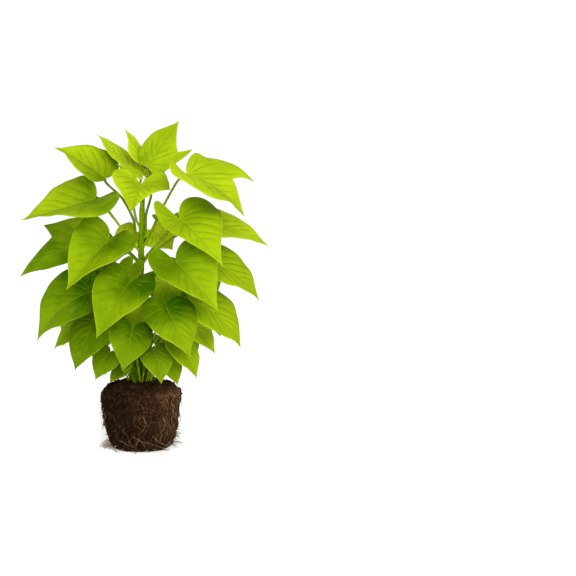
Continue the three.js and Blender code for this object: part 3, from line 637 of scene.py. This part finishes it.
def lightAndShadeOf(leaf, u, v, side):
    # painted light and shade: from the tip's tone to the lobe's toward the stalk; the two lobes' tones meet
    # at the midrib
    tip, *lobes = leaf["tone"] if np.ndim(leaf["tone"]) else (leaf["tone"], shadedLobeTone, shadedLobeTone)
    between = sum(lobes) / 2
    lobe = between + (lobes[side] - between) * smoothStep(v, 0, 0.15)
    return tip + (lobe - tip) * (1 - smoothStep(u, -0.04, 0.56))


def bladeHalf(leaf, side, half, u, v, length, phases):
    # mm over the leaf's plane: its height, swollen by the sine of the vein number, rippled near the margin by
    # two sines of the angle round the leaf and sunk in a bell along the midrib. Then half the thickness, how
    # far it is sunk, and the rows of "veins" and "form".
    number, gap = veinNumbers(u, v, side, half["curve"], phases)
    gap = gap * length
    line = half["line"][::3]
    margin = np.min(np.hypot(u[..., None] - line[:, 0], v[..., None] - line[:, 1]), axis=2) * length
    margin[:, -1] = 0
    fromRib = np.where(u >= 0, v, np.hypot(u, v)) * length
    young = min(1, length / blade["fullLength"])
    calm = smoothStep(gap, 2, 9) * smoothStep(margin, 0, 9) * smoothStep(fromRib, 0.5, 5)
    quilt = blade["quilt"] * (np.abs(np.sin(np.pi * number)) - 0.6) * calm * young
    around = np.arctan2(v * (1 - 2 * side), u - 0.1)
    ripple = blade["wave"] * (np.sin(7 * around + phases[0]) + 0.6 * np.sin(12 * around + phases[1])) * young
    ripple = ripple * (1 - smoothStep(margin, 0, blade["waveBand"] * length)) * smoothStep(v, 0.02, 0.15)
    sunk = blade["groove"] * np.exp(-(fromRib / blade["grooveWidth"]) ** 2) * smoothStep(1 - u, 0, 0.5)
    middle = bladeHeight(u, v, leaf) * length + quilt + ripple - sunk
    halfThick = 0.5 * (blade["edge"] + (blade["thickness"] - blade["edge"]) * smoothStep(margin, 0, 8))
    veins, form = (number, gap, fromRib), (u, margin, lightAndShadeOf(leaf, u, v, side))
    return middle, halfThick, sunk, *(np.stack(rows, axis=-1).reshape(-1, 3) for rows in (veins, form))


def bladeSurface(leaf, seed):
    # two grids a side, half the thickness over and under the middle, that share the points of the midrib and
    # are joined by the rim; kinds are 0 over, 1 under and 2 on the rim
    joint, length, along, left, face = leafFrame(leaf)
    phases = np.random.default_rng(seed).uniform(0, 2 * np.pi, 2)
    detail = math.sqrt(min(1, length / 90))
    halves = [sideOf(leaf, side) for side in (0, 1)]
    rows = midribRows(halves, max(14, round(blade["rows"] * detail)))
    inner = max(10, round(blade["columns"] * detail))
    columns = np.concatenate([[0, 0.012, 0.035], np.linspace(0.07, 1, inner)])
    fanRows = max(14, round(blade["fanRows"] * detail))
    last = len(rows) - 1  # the row at the stalk

    points, veins, form, faces, kinds = [], [], [], [], []
    for side, half in enumerate(halves):
        u, v = halfGrid(half, rows, columns, fanRows)
        middle, halfThick, sunk, veinRows, formRows = bladeHalf(leaf, side, half, u, v, length, phases)
        base = joint + (u * length)[..., None] * along + ((1 - 2 * side) * v * length)[..., None] * left
        grids = []
        for layer, body in enumerate((middle + halfThick, middle - halfThick - 0.5 * sunk)):
            index = u.size * len(points) + np.arange(u.size).reshape(u.shape)
            twin = twins[layer] if side else index
            index[0] = twin[0, 0]  # the tip
            index[:last, 0] = twin[:last, 0]
            index[last:, 0] = index[-1] = twin[last, 0]  # the stalk
            grids.append(index)
            points.append((base + body[..., None] * face).reshape(-1, 3))
            veins.append(veinRows)
            form.append(formRows)
        twins = grids
        rim = np.stack([grids[0][:, -1], grids[1][:, -1]], axis=1)
        for kind, index in enumerate((grids[0], grids[1][:, ::-1], rim)):
            faces.append(gridTriangles(index[:, ::-1] if side else index))
            kinds.append(np.full(len(faces[-1]), kind))
    return (np.vstack(points), np.vstack(faces), np.concatenate(kinds), np.vstack(veins), np.vstack(form))


# Main stem and leaf stalks

stem = {
    "route": [[0, 0, 68], [-0.5, 0.5, 130], [1.5, 0.5, 190], [2.5, 1.5, 250], [4.5, 1, 300], [6, 2, 326]],
    "foot": 3.6,  # mm, radius at the soil
    "top": 2.9,
    "swelling": (0.16, 3.5),  # share that it swells where a stalk leaves it, and mm up and down
    "tone": (0.2, 0.95),  # how light the green is, from 190 to 320 mm up
    "sides": 28,
    "rings": 220,
}
stalk = {
    "foot": (1.7, 1.3),  # mm, radius at the stem and under the blade
    "thin": (1.5, 1.05),  # mm, the same for a stalk out of the soil
    "footSwelling": (0.35, 0.05),  # share that it swells, and share of its length
    "jointSwelling": (0.18, 0.04),
    "end": 0.6,  # mm, radius inside the blade
    "leave": (6, 7),  # mm, out and up
    "below": (4, 5),  # mm, back and under the joint
    "into": (3, 0.7),  # mm, ahead and under the joint
    "buried": 72,  # mm, height of its end in the soil
    "risen": (1.1, 90),  # lean and height where it starts to bend
    "tone": (0.12, 0.13),  # how light the green is, and one of five steps that set neighbours apart
    "shade": (0.6, 80, 130),  # painted shade under the leaves: how much darker it is near the soil, and the heights where that ends
    "sides": 10,
    "rings": 40,
}
stemLine = smoothRoute(stem["route"], stem["rings"])


def stalkLine(leaf):
    # from the stem or the soil upward, over its bends, to the joint from under the blade
    joint, length, along, left, face = leafFrame(leaf)
    arrival = joint - stalk["below"][0] * along - stalk["below"][1] * face
    end = joint + stalk["into"][0] * along - stalk["into"][1] * face
    via = [np.array(point, float) for point in leaf["via"]]
    if np.ndim(leaf["foot"]):
        degrees, radius = leaf["foot"]
        x, y = radius * math.cos(math.radians(degrees)), radius * math.sin(math.radians(degrees))
        lean, risen = stalk["risen"]
        start = [(x, y, stalk["buried"]), (lean * x, lean * y, risen)]
    else:
        foot = np.array([np.interp(leaf["foot"], stemLine[:, 2], values) for values in stemLine.T])
        outward = unit(([*via, arrival][0] - foot) * [1, 1, 0])
        start = [foot, foot + stalk["leave"][0] * outward + [0, 0, stalk["leave"][1]]]
    return smoothRoute([*start, *via, arrival, end], stalk["rings"])


def stalkRadii(leaf):
    # even taper, with a bell at the foot and one at the joint and a drawn-in end under the blade
    share = np.linspace(0, 1, stalk["rings"] + 1)
    foot, joint = stalk["thin" if np.ndim(leaf["foot"]) else "foot"]
    swelling = sum(rise * np.exp(-((share - at) / spread) ** 2)
                   for at, (rise, spread) in ((0, stalk["footSwelling"]), (0.93, stalk["jointSwelling"])))
    radius = (foot + (joint - foot) * share) * (1 + swelling)
    return radius + (stalk["end"] - radius) * smoothStep(share, 0.955, 1)


slotOfTier = {
    "crown": "young_leaf", "shoulder": "young_leaf", "middle": "grown_leaf",
    "skirt": "shaded_leaf", "inner": "shaded_leaf", "back": "shaded_leaf",
}
triangleCount = 0
for tierNumber, (tier, leaves) in enumerate(leafTiers.items()):
    for leafNumber, own in enumerate(leaves):
        leaf = {"skin": slotOfTier[tier], **usualLeaf, **own}
        points, faces, kinds, veins, form = bladeSurface(leaf, 100 * tierNumber + leafNumber)
        tubePoints, tubeFaces = strands(stalkLine(leaf)[None], stalkRadii(leaf)[None], stalk["sides"])
        lightness, step = stalk["tone"]
        shade, low, high = stalk["shade"]
        tone = lightness + step * (leafNumber * 7 % 5) - shade * (1 - smoothStep(tubePoints[:, 2], low, high))
        kinds = np.concatenate([kinds, np.full(len(tubeFaces), 3)])
        nodeName = f"{tier}_leaf_{leafNumber + 1}"
        triangleCount += makePiece(
            nodeName + "_living", nodeName, leafSkins[leaf["skin"]] + [stalkSkin],
            np.vstack([points, tubePoints]), np.vstack([faces, tubeFaces + len(points)]),
            {"veins": np.vstack([veins, 0 * tubePoints]),
             "form": np.vstack([form, tone[:, None] * [0, 0, 1]])},
            np.array([0, 1, 0, 2])[kinds], kinds == 2)
print("leaves made:", triangleCount, "triangles")


def stemRadii():
    # even taper, swollen in a bell round each height where a stalk leaves, and rounded off at the top
    share = np.linspace(0, 1, stem["rings"] + 1)
    radius = stem["foot"] + (stem["top"] - stem["foot"]) * share
    rise, spread = stem["swelling"]
    feet = [leaf["foot"] for leaves in leafTiers.values() for leaf in leaves if not np.ndim(leaf["foot"])]
    bells = np.exp(-((stemLine[:, 2, None] - feet) / spread) ** 2).sum(axis=1)
    return radius * (1 + rise * np.minimum(bells, 1.4)) * (1 - 0.5 * smoothStep(share, 0.985, 1))


points, faces = strands(stemLine[None], stemRadii()[None], stem["sides"])
tone = np.interp(smoothStep(points[:, 2], 190, 320), (0, 1), stem["tone"])
makePiece("main_stem_living", "main_stem", [stemSkin], points, faces,
          {"form": tone[:, None] * [0, 0, 1]})
print("stem made")

shoots = {
    "count": 58,
    "ring": (4, 15.5),  # mm from the stem's foot
    "foot": 78,  # mm up, inside the soil
    "length": (14, 44),  # mm
    "radius": (0.45, 0.8),
    "bud": 1.9,  # times as thick as its stalk
    "lean": 0.58,  # mm out for each mm up, at the outer ring
    "tone": (-0.5, 0.95),
    "rings": 24,
    "sides": 8,
}


def shootLines(seed):
    # up by the share, out by its power of 1.3 and aside by a drift, from places that golden angles spread
    rng = np.random.default_rng(seed)
    count, share = shoots["count"], np.linspace(0, 1, shoots["rings"])
    angle = (np.arange(count) * 2.399 + rng.normal(0, 0.25, count))[:, None]
    inmost, outmost = shoots["ring"]
    ring = np.sqrt(rng.uniform(inmost ** 2, outmost ** 2, (count, 1)))
    length = rng.uniform(*shoots["length"], (count, 1))
    r = ring + shoots["lean"] * length * ring / outmost * share ** 1.3
    angle = angle + rng.normal(0, 0.25, (count, 1)) * share
    return roundAxis(r, angle, shoots["foot"] + (length + 4) * share)


def shootRadii(seed):
    # thin all the way, with a spindle at the end for the closed leaf
    radius = np.random.default_rng(seed).uniform(*shoots["radius"], (shoots["count"], 1))
    share = np.linspace(0, 1, shoots["rings"])
    spindle = (shoots["bud"] - 1) * np.exp(-((share - 0.86) / 0.07) ** 2)
    return radius * (1 + spindle) * (1 - 0.9 * smoothStep(share, 0.84, 1))


points, faces = strands(shootLines(21), shootRadii(22), shoots["sides"])
tone = np.random.default_rng(23).uniform(*shoots["tone"], shoots["count"])
tone = np.repeat(tone, shoots["rings"] * shoots["sides"])
makePiece("young_shoots", "main_stem", [stalkSkin], points, faces,
          {"form": tone[:, None] * [0, 0, 1]})
print("young shoots made:", len(faces), "triangles")


# Root ball

ball = {
    "profile": [[0, 0], [33, 0], [38, 4], [41.5, 12], [43.5, 22], [45.5, 33], [47, 45], [48.5, 55],
                [49.5, 64], [48, 70], [41, 76.5], [28, 81], [12, 84], [0, 84]],
    "rim": 8,  # corner of the profile where the side ends
    "middle": 46,  # mm, radius half way up
    "swell": 1.3,  # mm, broad clods and hollows, as in the solid
    "lumps": ((6, 1.4), (2.3, 1.1), (1.035, 0.33)),  # mm across and mm high: clods, crumbs and grains
    "sunk": 0.5,  # mm, of all that inside the solid
    # painted shade on the ball for light from the right: more on the left and lower down, less toward the
    # rim, painted light at its right
    "shadeAcross": (-14, 44),  # mm across the ball, from full painted shade on the left to none on the right
    "shadeSlope": (0.4, 40),  # how far that shifts for each mm over this height
    "shadeLump": (11, 5),  # mm across and mm that it shifts
    "shadeRim": (16, 66, 80),  # mm that it shifts between these heights
    "litRim": (1.3, (12, 40), (58, 72)),  # share of painted light, mm across and mm up from none to all
    "around": 390,
    "upward": 200,
    "under": 10,
}


def lumps(points, size, seed):
    # random heights at the corners of cubes of that size, mixed by the smooth step of the place inside
    table = np.random.default_rng(seed).uniform(-1, 1, (32, 32, 32))
    place = points / size + 500
    cell = np.floor(place).astype(int)
    share = smoothStep(place - cell, 0, 1)
    height = 0
    for corner in np.ndindex(2, 2, 2):
        weight = np.prod(np.where(corner, share, 1 - share), axis=-1)
        x, y, z = np.moveaxis((cell + corner) % 32, -1, 0)
        height = height + weight * table[x, y, z]
    return height


profile = np.array(ball["profile"], float)
profileLength = lengthAlong(profile)
footRadius, footLength, rimLength = profile[1, 0], profileLength[1], profileLength[ball["rim"]]
wallR, wallZ = profile[1:ball["rim"] + 1].T


def broadSwelling(angle, z):
    # three crossing waves round and up the ball
    return ball["swell"] * (0.5 * np.sin(5 * angle + 0.11 * z) + 0.45 * np.sin(9 * angle - 0.2 * z + 1)
                            + 0.35 * np.sin(0.45 * z + 3 * angle + 2))


def ballSurface(angle, way, lift=0.0):
    # the profile turned round, swollen by the broad waves, then by clods, crumbs and grains square to it
    angle, way = np.broadcast_arrays(angle, way)
    (r, z), (beforeR, beforeZ), (afterR, afterZ) = (
        [np.interp(way + step, profileLength, values) for values in profile.T] for step in (0, -1.5, 1.5))
    size = np.hypot(afterZ - beforeZ, beforeR - afterR) + 1e-9
    r = r + broadSwelling(angle, z) * smoothStep(r, 18, 24) * smoothStep(z, 0, 2)
    place = roundAxis(r, angle, z)
    rough = sum(high * lumps(place, across, seed) for seed, (across, high) in enumerate(ball["lumps"], 1))
    rough = (rough * smoothStep(r, 2, 8) - ball["sunk"]) * smoothStep(z, 0, 4) + lift
    outward = roundAxis((afterZ - beforeZ) / size, angle, (beforeR - afterR) / size)
    return place + (rough * (z > 0.3))[..., None] * outward


def paintedShadeShare(points):
    # painted shade: from 1 on the left side to 0 on the right one and toward the rim, with slow lumps, and
    # below 0, as painted light, on the right of the rim
    x, z = points[..., 0], points[..., 2]
    (slope, level), (size, shift), (rimShift, *rim) = ball["shadeSlope"], ball["shadeLump"], ball["shadeRim"]
    across = x + slope * (z - level) + shift * lumps(points, size, 4) + rimShift * smoothStep(z, *rim)
    dried, aside, up = ball["litRim"]
    return 1 - smoothStep(across, *ball["shadeAcross"]) - dried * smoothStep(x, *aside) * smoothStep(z, *up)


def makeBallPiece(name, skin, points, faces, attributes):
    # a piece that stands for the ball's solid
    count = makePiece(name, "root_ball", [skin], points, faces, attributes)
    print(name, "made:", count, "triangles")


angle = 2 * np.pi * np.arange(ball["around"]) / ball["around"]
upward = np.concatenate([np.linspace(0, footLength, ball["under"])[:-1],
                         np.linspace(footLength, profileLength[-1], ball["upward"])])
points = ballSurface(angle, upward[:, None])
points[..., 2] = np.maximum(points[..., 2], 0)
index = np.arange(points[..., 0].size).reshape(points.shape[:2])
index[0], index[-1] = index[0, 0], index[-1, 0]
points = points.reshape(-1, 3)
# the soil carries the painted shade and light
makeBallPiece("soil", soilSkin, points, gridTriangles(np.hstack([index, index[:, :1]])),
              {"paintedShade": paintedShadeShare(points)})

crumbs = {
    "count": 500,
    "radius": (0.7, 2.1),
    "way": (rimLength - 5, rimLength + 34),  # mm along the profile, over the rim and the top
    # share of the painted shade on the crumbs
    "paintedShade": 0.6,
    "rings": 5,
    "sides": 6,
}


def crumbLines(seed):
    # short lines through points spread on the rim and top, and radii that round them into lumps
    rng = np.random.default_rng(seed)
    count, (least, most) = crumbs["count"], crumbs["radius"]
    radius = least + (most - least) * rng.uniform(0, 1, (count, 1)) ** 2
    middle = ballSurface(rng.uniform(0, 2 * np.pi, count), rng.uniform(*crumbs["way"], count))
    direction = unit(rng.normal(0, 1, (count, 3)))
    share = np.linspace(-1, 1, crumbs["rings"])
    line = middle[:, None] + (radius * share)[..., None] * direction[:, None]
    return line, radius * np.sqrt(1.15 - share ** 2) * rng.uniform(0.7, 1, (count, 1))


points, faces = strands(*crumbLines(41), crumbs["sides"])
makeBallPiece("loose_crumbs", soilSkin, points, faces, {"paintedShade": crumbs["paintedShade"] * paintedShadeShare(points)})

felt = {
    "count": 3800,
    "length": (9, 30),  # mm
    "radius": (0.16, 0.34),  # mm; the finest real ones would not show
    "taper": 0.6,  # share of the radius at the end
    "lift": 1.3,  # mm, at their middles
    "rings": 8,
    "sides": 3,
}
longRoots = {"count": 60, "length": (20, 60), "radius": (0.22, 0.4), "taper": 0.5, "lift": 1.6, "rings": 60}
windings = {
    "heading": 0.6,  # radians off straight down
    "bend": (0.1, 0.9),  # radians to and fro
    "turns": (1.5, 6),  # radians of that wave from end to end
    "start": (6, 18),  # mm past the foot and past the rim, between which roots start
    "stay": (1.2, 22),  # the same for their whole way
    "sunk": (1.1, 0.8),  # mm inside the soil, and how much less for some
}


def feltLines(roots, seed):
    # each root heads mostly down the side and keeps bending; its place is the running sum of its steps
    rng = np.random.default_rng(seed)
    count, rings = roots["count"], roots["rings"]
    share = np.linspace(0, 1, rings)
    step = rng.uniform(*roots["length"], (count, 1)) / (rings - 1)
    bend = rng.normal(0, windings["heading"], (count, 1)), rng.uniform(*windings["bend"], (count, 1))
    heading = bend[0] + bend[1] * np.sin(
        rng.uniform(*windings["turns"], (count, 1)) * share + rng.uniform(0, 6.3, (count, 1)))
    start, stay = (np.add(windings[key], (footLength, rimLength)) for key in ("start", "stay"))
    way = np.clip(rng.uniform(*start, (count, 1)) - np.cumsum(np.cos(heading) * step, axis=1), *stay)
    aside = np.cumsum(np.sin(heading) * step, axis=1) / ball["middle"]
    angle = rng.uniform(0, 2 * np.pi, (count, 1)) + aside
    sunk = windings["sunk"][0] - rng.uniform(0, windings["sunk"][1], (count, 1)) ** 2
    return ballSurface(angle, way, roots["lift"] * np.sin(np.pi * share) ** 0.6 - sunk)


def tapered(radius, roots, rings):
    # each root's radius, falling evenly to its taper at the end
    return np.reshape(radius, (-1, 1)) * np.linspace(1, roots["taper"], rings)


def layRoots(name, skin, lines, radii, sides, tones, paintedShade=None):
    # roots as strands that stay above the ground, each with its tone, and with the painted shade share times
    # its own
    lines[..., 2] = np.maximum(lines[..., 2], radii)
    points, faces = strands(lines, radii, sides)
    around = lines.shape[1] * sides
    attributes = {"tone": np.repeat(tones, around)}
    if paintedShade is not None:
        attributes["paintedShade"] = np.repeat(paintedShade, around) * paintedShadeShare(points)
    makeBallPiece(name, skin, points, faces, attributes)


rng = np.random.default_rng(11)
radii = tapered(rng.uniform(*felt["radius"], felt["count"]), felt, felt["rings"])
layRoots("root_felt", fibreSkin, feltLines(felt, 12), radii, felt["sides"],
         rng.beta(1.1, 1.6, felt["count"]), np.ones(felt["count"]))

mainRoots = {
    "count": 12,
    "spacing": 2.4,  # radians from one to the next
    "top": (60, 6),  # mm up, and how much lower the second and third of three start
    "bottom": (5, 8),  # mm up, and how much higher every second one ends
    "drift": 0.5,  # radians, at most
    "wave": 0.16,
    "bends": 5,
    "sunk": 0.35,  # mm that its axis is inside the soil
    "reach": 18,  # mm past the foot
    "rest": 1.2,  # mm, height of the trailing end
    "radius": 0.62,
    "taper": 0.7,
    "tone": (0.2, 0.55),
    # share of the painted shade on these roots
    "paintedShade": 0.7,
    "knots": (0.12, 40),  # share that it swells, and radians of that wave from end to end
    "tips": (0.8, 0.55, 0.3),
    "rings": 60,
    "sides": 6,
}


def mainRootLine(k):
    # winds down the side by a drift and a wave, half sunk; every second one trails on over the ground
    share = np.linspace(0, 1, mainRoots["bends"] + 1)
    drift = mainRoots["drift"] * math.sin(1.7 * k + 0.5)
    top = mainRoots["top"][0] - mainRoots["top"][1] * (k % 3)
    bottom = mainRoots["bottom"][0] + mainRoots["bottom"][1] * (k % 2)
    z = top + (bottom - top) * share
    angle = mainRoots["spacing"] * k + drift * share + mainRoots["wave"] * np.sin(4 * np.pi * share + k)
    line = roundAxis(np.interp(z, wallZ, wallR) + broadSwelling(angle, z) - mainRoots["sunk"], angle, z)
    if k % 2 == 0:
        last = mainRoots["spacing"] * k + drift + 0.1 * k
        line = np.vstack([line, roundAxis(footRadius + mainRoots["reach"] - k / 2, last, mainRoots["rest"])])
    return smoothRoute(line, mainRoots["rings"] - 1)


paleRoots = {
    "routes": [  # degrees round the ball and mm high
        [(278, 47), (281, 39), (280, 33), (275, 28), (270, 24)],
        [(320, 64), (326, 55), (331, 48), (326, 41), (327, 33)],
        [(245, 30), (250, 22), (253, 17), (258, 9)],
        [(262, 22), (273, 16), (289, 12), (312, 5)],
        [(236, 15), (250, 11), (263, 6)],
        [(309, 44), (315, 34), (308, 24), (307, 13)],
        [(292, 22), (303, 14), (329, 4)],
        [(273, 21), (267, 12), (264, 4)],
        [(200, 48), (205, 36), (203, 26), (208, 14)],
        [(60, 55), (66, 42), (60, 30), (70, 12)],
        [(120, 40), (112, 28), (117, 16), (108, 6)],
    ],
    "radius": 0.21,
    "taper": 0.6,
    "lift": 0.9,
    "tone": 0.97,
    # share of the painted shade on these roots
    "paintedShade": 0.4,
}


def paleRootLine(route):
    # a smooth line on the unrolled side, laid on the ball's surface
    degrees, height = np.array(route, float).T
    unrolled = np.stack([np.radians(degrees) * ball["middle"], height, 0 * height], axis=1)
    along, height, flat = smoothRoute(unrolled, mainRoots["rings"] - 1).T
    way = np.interp(height, wallZ, profileLength[1:ball["rim"] + 1])
    return ballSurface(along / ball["middle"], way, paleRoots["lift"])


mainPaths = [mainRootLine(k) for k in range(mainRoots["count"])]
rise, turns = mainRoots["knots"]
mainRadii = tapered(mainRoots["radius"], mainRoots, mainRoots["rings"]) * (
    1 + rise * np.sin(np.linspace(0, turns, mainRoots["rings"])))
mainRadii[:, -3:] *= mainRoots["tips"]
longPaths = feltLines(longRoots, 31)
longRadii = tapered(rng.uniform(*longRoots["radius"], longRoots["count"]), longRoots, longRoots["rings"])
palePaths = [paleRootLine(route) for route in paleRoots["routes"]]
paleRadii = tapered([paleRoots["radius"]] * len(palePaths), paleRoots, mainRoots["rings"])
layRoots("winding_roots", fibreSkin, np.vstack([mainPaths, longPaths, palePaths]),
         np.vstack([mainRadii] * mainRoots["count"] + [longRadii, paleRadii]), mainRoots["sides"],
         np.concatenate([rng.uniform(*mainRoots["tone"], mainRoots["count"]),
                         rng.beta(2, 2.2, longRoots["count"]), [paleRoots["tone"]] * len(palePaths)]),
         [mainRoots["paintedShade"]] * (mainRoots["count"] + longRoots["count"])
         + [paleRoots["paintedShade"]] * len(palePaths))

# Feeding roots that hang free. side, spread: degrees round the ball. leave: mm high where they leave it. out,
# drop: mm that they reach out and down. swing: radians aside. radius: mm. tone: from stained 0 to clean 1.
usualTuft = dict(radius=(0.12, 0.24), tone=(0.3, 1.0))
thickTuft = dict(radius=(0.16, 0.24), tone=(0.0, 0.4))
stainedTuft = dict(radius=(0.14, 0.26), tone=(0.0, 0.4))
tufts = [
    dict(usualTuft, side=188, spread=18, count=64, leave=(1.5, 9), out=(4, 17), drop=(4, 14), swing=0.13),
    dict(usualTuft, side=205, spread=24, count=34, leave=(2, 9), out=(3, 12), drop=(3, 9), swing=0.13),
    dict(side=-8, spread=24, count=14, leave=(3, 18), out=(4, 11), drop=(1, 8), swing=0.1,
         radius=(0.12, 0.2), tone=(0.0, 0.4)),
    dict(thickTuft, side=-6, spread=24, count=26, leave=(4, 24), out=(4, 11), drop=(0, 6), swing=0.04),
    dict(thickTuft, side=186, spread=24, count=16, leave=(6, 20), out=(3, 8), drop=(0, 6), swing=0.04),
    dict(usualTuft, side=270, spread=50, count=22, leave=(1, 5), out=(2, 8), drop=(1, 5), swing=0.08),
    dict(side=182, spread=16, count=12, leave=(30, 60), out=(2, 5), drop=(10, 22), swing=0.05,
         radius=(0.18, 0.3), tone=(0.1, 0.6)),
    dict(side=-2, spread=16, count=10, leave=(24, 60), out=(1.5, 4), drop=(8, 18), swing=0.05,
         radius=(0.18, 0.3), tone=(0.3, 1.0)),
    dict(stainedTuft, side=180, spread=40, count=70, leave=(8, 70), out=(1, 3.5), drop=(-1, 4), swing=0.06),
    dict(stainedTuft, side=0, spread=40, count=70, leave=(8, 70), out=(1, 3.5), drop=(-1, 4), swing=0.06),
    dict(side=90, spread=70, count=60, leave=(2, 60), out=(2, 8), drop=(2, 12), swing=0.1,
         radius=(0.14, 0.26), tone=(0.3, 1.0)),
]
tuftGrid = {"rings": 12, "sides": 4, "taper": 0.5, "sunk": 1.5}


def tuftLines(tuft, seed):
    # out from the side by the share to the power 0.7, down by its power 1.8, never under the ground
    rng = np.random.default_rng(seed)
    size = (tuft["count"], 1)
    side = np.radians(rng.normal(tuft["side"], tuft["spread"] / 2, size))
    z = rng.uniform(*tuft["leave"], size)
    share = np.linspace(0, 1, tuftGrid["rings"])
    r = np.interp(z, wallZ, wallR) - tuftGrid["sunk"] + rng.uniform(*tuft["out"], size) * share ** 0.7
    height = z - rng.uniform(*tuft["drop"], size) * share ** 1.8
    swing = rng.normal(0, tuft["swing"], size) * share + 0.2 * tuft["swing"] * np.sin(
        rng.uniform(3, 9, size) * share + rng.uniform(0, 6, size)) * share
    height = np.where(height < 1, 0.35 + 0.65 * np.exp(np.minimum(height - 1, 0)), height)
    return roundAxis(r, side + swing, height)


counts = [tuft["count"] for tuft in tufts]
thickness, tones = (rng.uniform(*np.repeat([tuft[key] for tuft in tufts], counts, axis=0).T)
                    for key in ("radius", "tone"))
layRoots("feeding_roots", paleSkin, np.vstack([tuftLines(tuft, 50 + k) for k, tuft in enumerate(tufts)]),
         tapered(thickness, tuftGrid, tuftGrid["rings"]), tuftGrid["sides"], tones)


# Floor, light and camera

studio = {
    "floor": ("f6f6f4", "ffffff"),
    "floorGrain": 3,  # mm
    "floorGlow": 0.18,
    "floorReach": 6,  # metres
    "room": (1.05, 0.85),  # brightness at the horizon and overhead
    "ceiling": (0.08, 0.6),  # upward share of the view between them
    "softBoxes": {"key": ((0.6, -2.1, 1.1), 50), "fill": ((-1.6, -1.5, 0.9), 20)},  # metres and watts
    "softBoxSize": 1.2,  # metres
    "softBoxAim": (0, 0, 0.2),
    "aim": (181, 0, 197),  # mm
    "distance": 2000,  # mm
    "tilt": 8,  # degrees down
    "pixel": 1.22,  # mm that a pixel spans at the aim
    "pixels": 576,
    "sensor": 36,  # mm
}


def groundMaterial():
    # White acrylic of a light table, sanded matt and lit from below, so that hardly any shadow stays on it
    material, tree, shader, place = startMaterial("sanded_white_acrylic", 0.9, 0.1)
    grain = addNode(tree, "TexNoise", {"Vector": place, "Scale": 1 / (studio["floorGrain"] * mm)})
    tint = addNode(tree, "Mix", {0: grain, 6: studio["floor"][0], 7: studio["floor"][1]}, data_type="RGBA")
    fillSockets(tree, shader, {"Base Color": tint.outputs[2], "Emission Color": "ffffff",
                               "Emission Strength": studio["floorGlow"]})
    return material


floorMesh = bpy.data.meshes.new("light_table")
reach = studio["floorReach"]
floorMesh.from_pydata([(-reach, -reach, 0), (reach, -reach, 0), (reach, reach, 0), (-reach, reach, 0)],
                      [], [(0, 1, 2, 3)])
floorMesh.materials.append(groundMaterial())
floor = bpy.data.objects.new("light_table", floorMesh)
bpy.context.scene.collection.objects.link(floor)

# a white room under a dimmer ceiling
world = bpy.data.worlds.new("soft_studio")
world.use_nodes = True
tree = world.node_tree
view = addNode(tree, "SeparateXYZ", {0: addNode(tree, "TexCoord").outputs["Generated"]})
(low, high), (horizon, zenith) = studio["ceiling"], studio["room"]
dimming = addNode(tree, "MapRange", {0: view.outputs[2], 1: low, 2: high, 3: horizon, 4: zenith},
                  interpolation_type="SMOOTHSTEP")
fillSockets(tree, tree.nodes["Background"], {"Color": "ffffff", "Strength": dimming})
bpy.context.scene.world = world
bpy.context.scene.view_settings.view_transform = "Standard"

# square lamps that look at the plant
for name, (place, power) in studio["softBoxes"].items():
    lamp = bpy.data.lights.new(name, "AREA")
    lamp.shape = "SQUARE"
    lamp.size = studio["softBoxSize"]
    lamp.energy = power
    lampObject = bpy.data.objects.new(name, lamp)
    lampObject.location = place
    sight = mathutils.Vector(studio["softBoxAim"]) - mathutils.Vector(place)
    lampObject.rotation_euler = sight.to_track_quat("-Z", "Y").to_euler()
    bpy.context.scene.collection.objects.link(lampObject)

camera = bpy.data.cameras.new("camera")
camera.sensor_width = studio["sensor"]
camera.lens = studio["distance"] / studio["pixel"] * studio["sensor"] / studio["pixels"]
camera.clip_end = 50
cameraObject = bpy.data.objects.new("camera", camera)
tilt = math.radians(studio["tilt"])
aim, distance = np.array(studio["aim"]) * mm, studio["distance"] * mm
cameraObject.location = aim + distance * np.array([0, -math.cos(tilt), math.sin(tilt)])
cameraObject.rotation_euler = (math.pi / 2 - tilt, 0, 0)
bpy.context.scene.collection.objects.link(cameraObject)
bpy.context.scene.camera = cameraObject
print("stage, light and camera set")
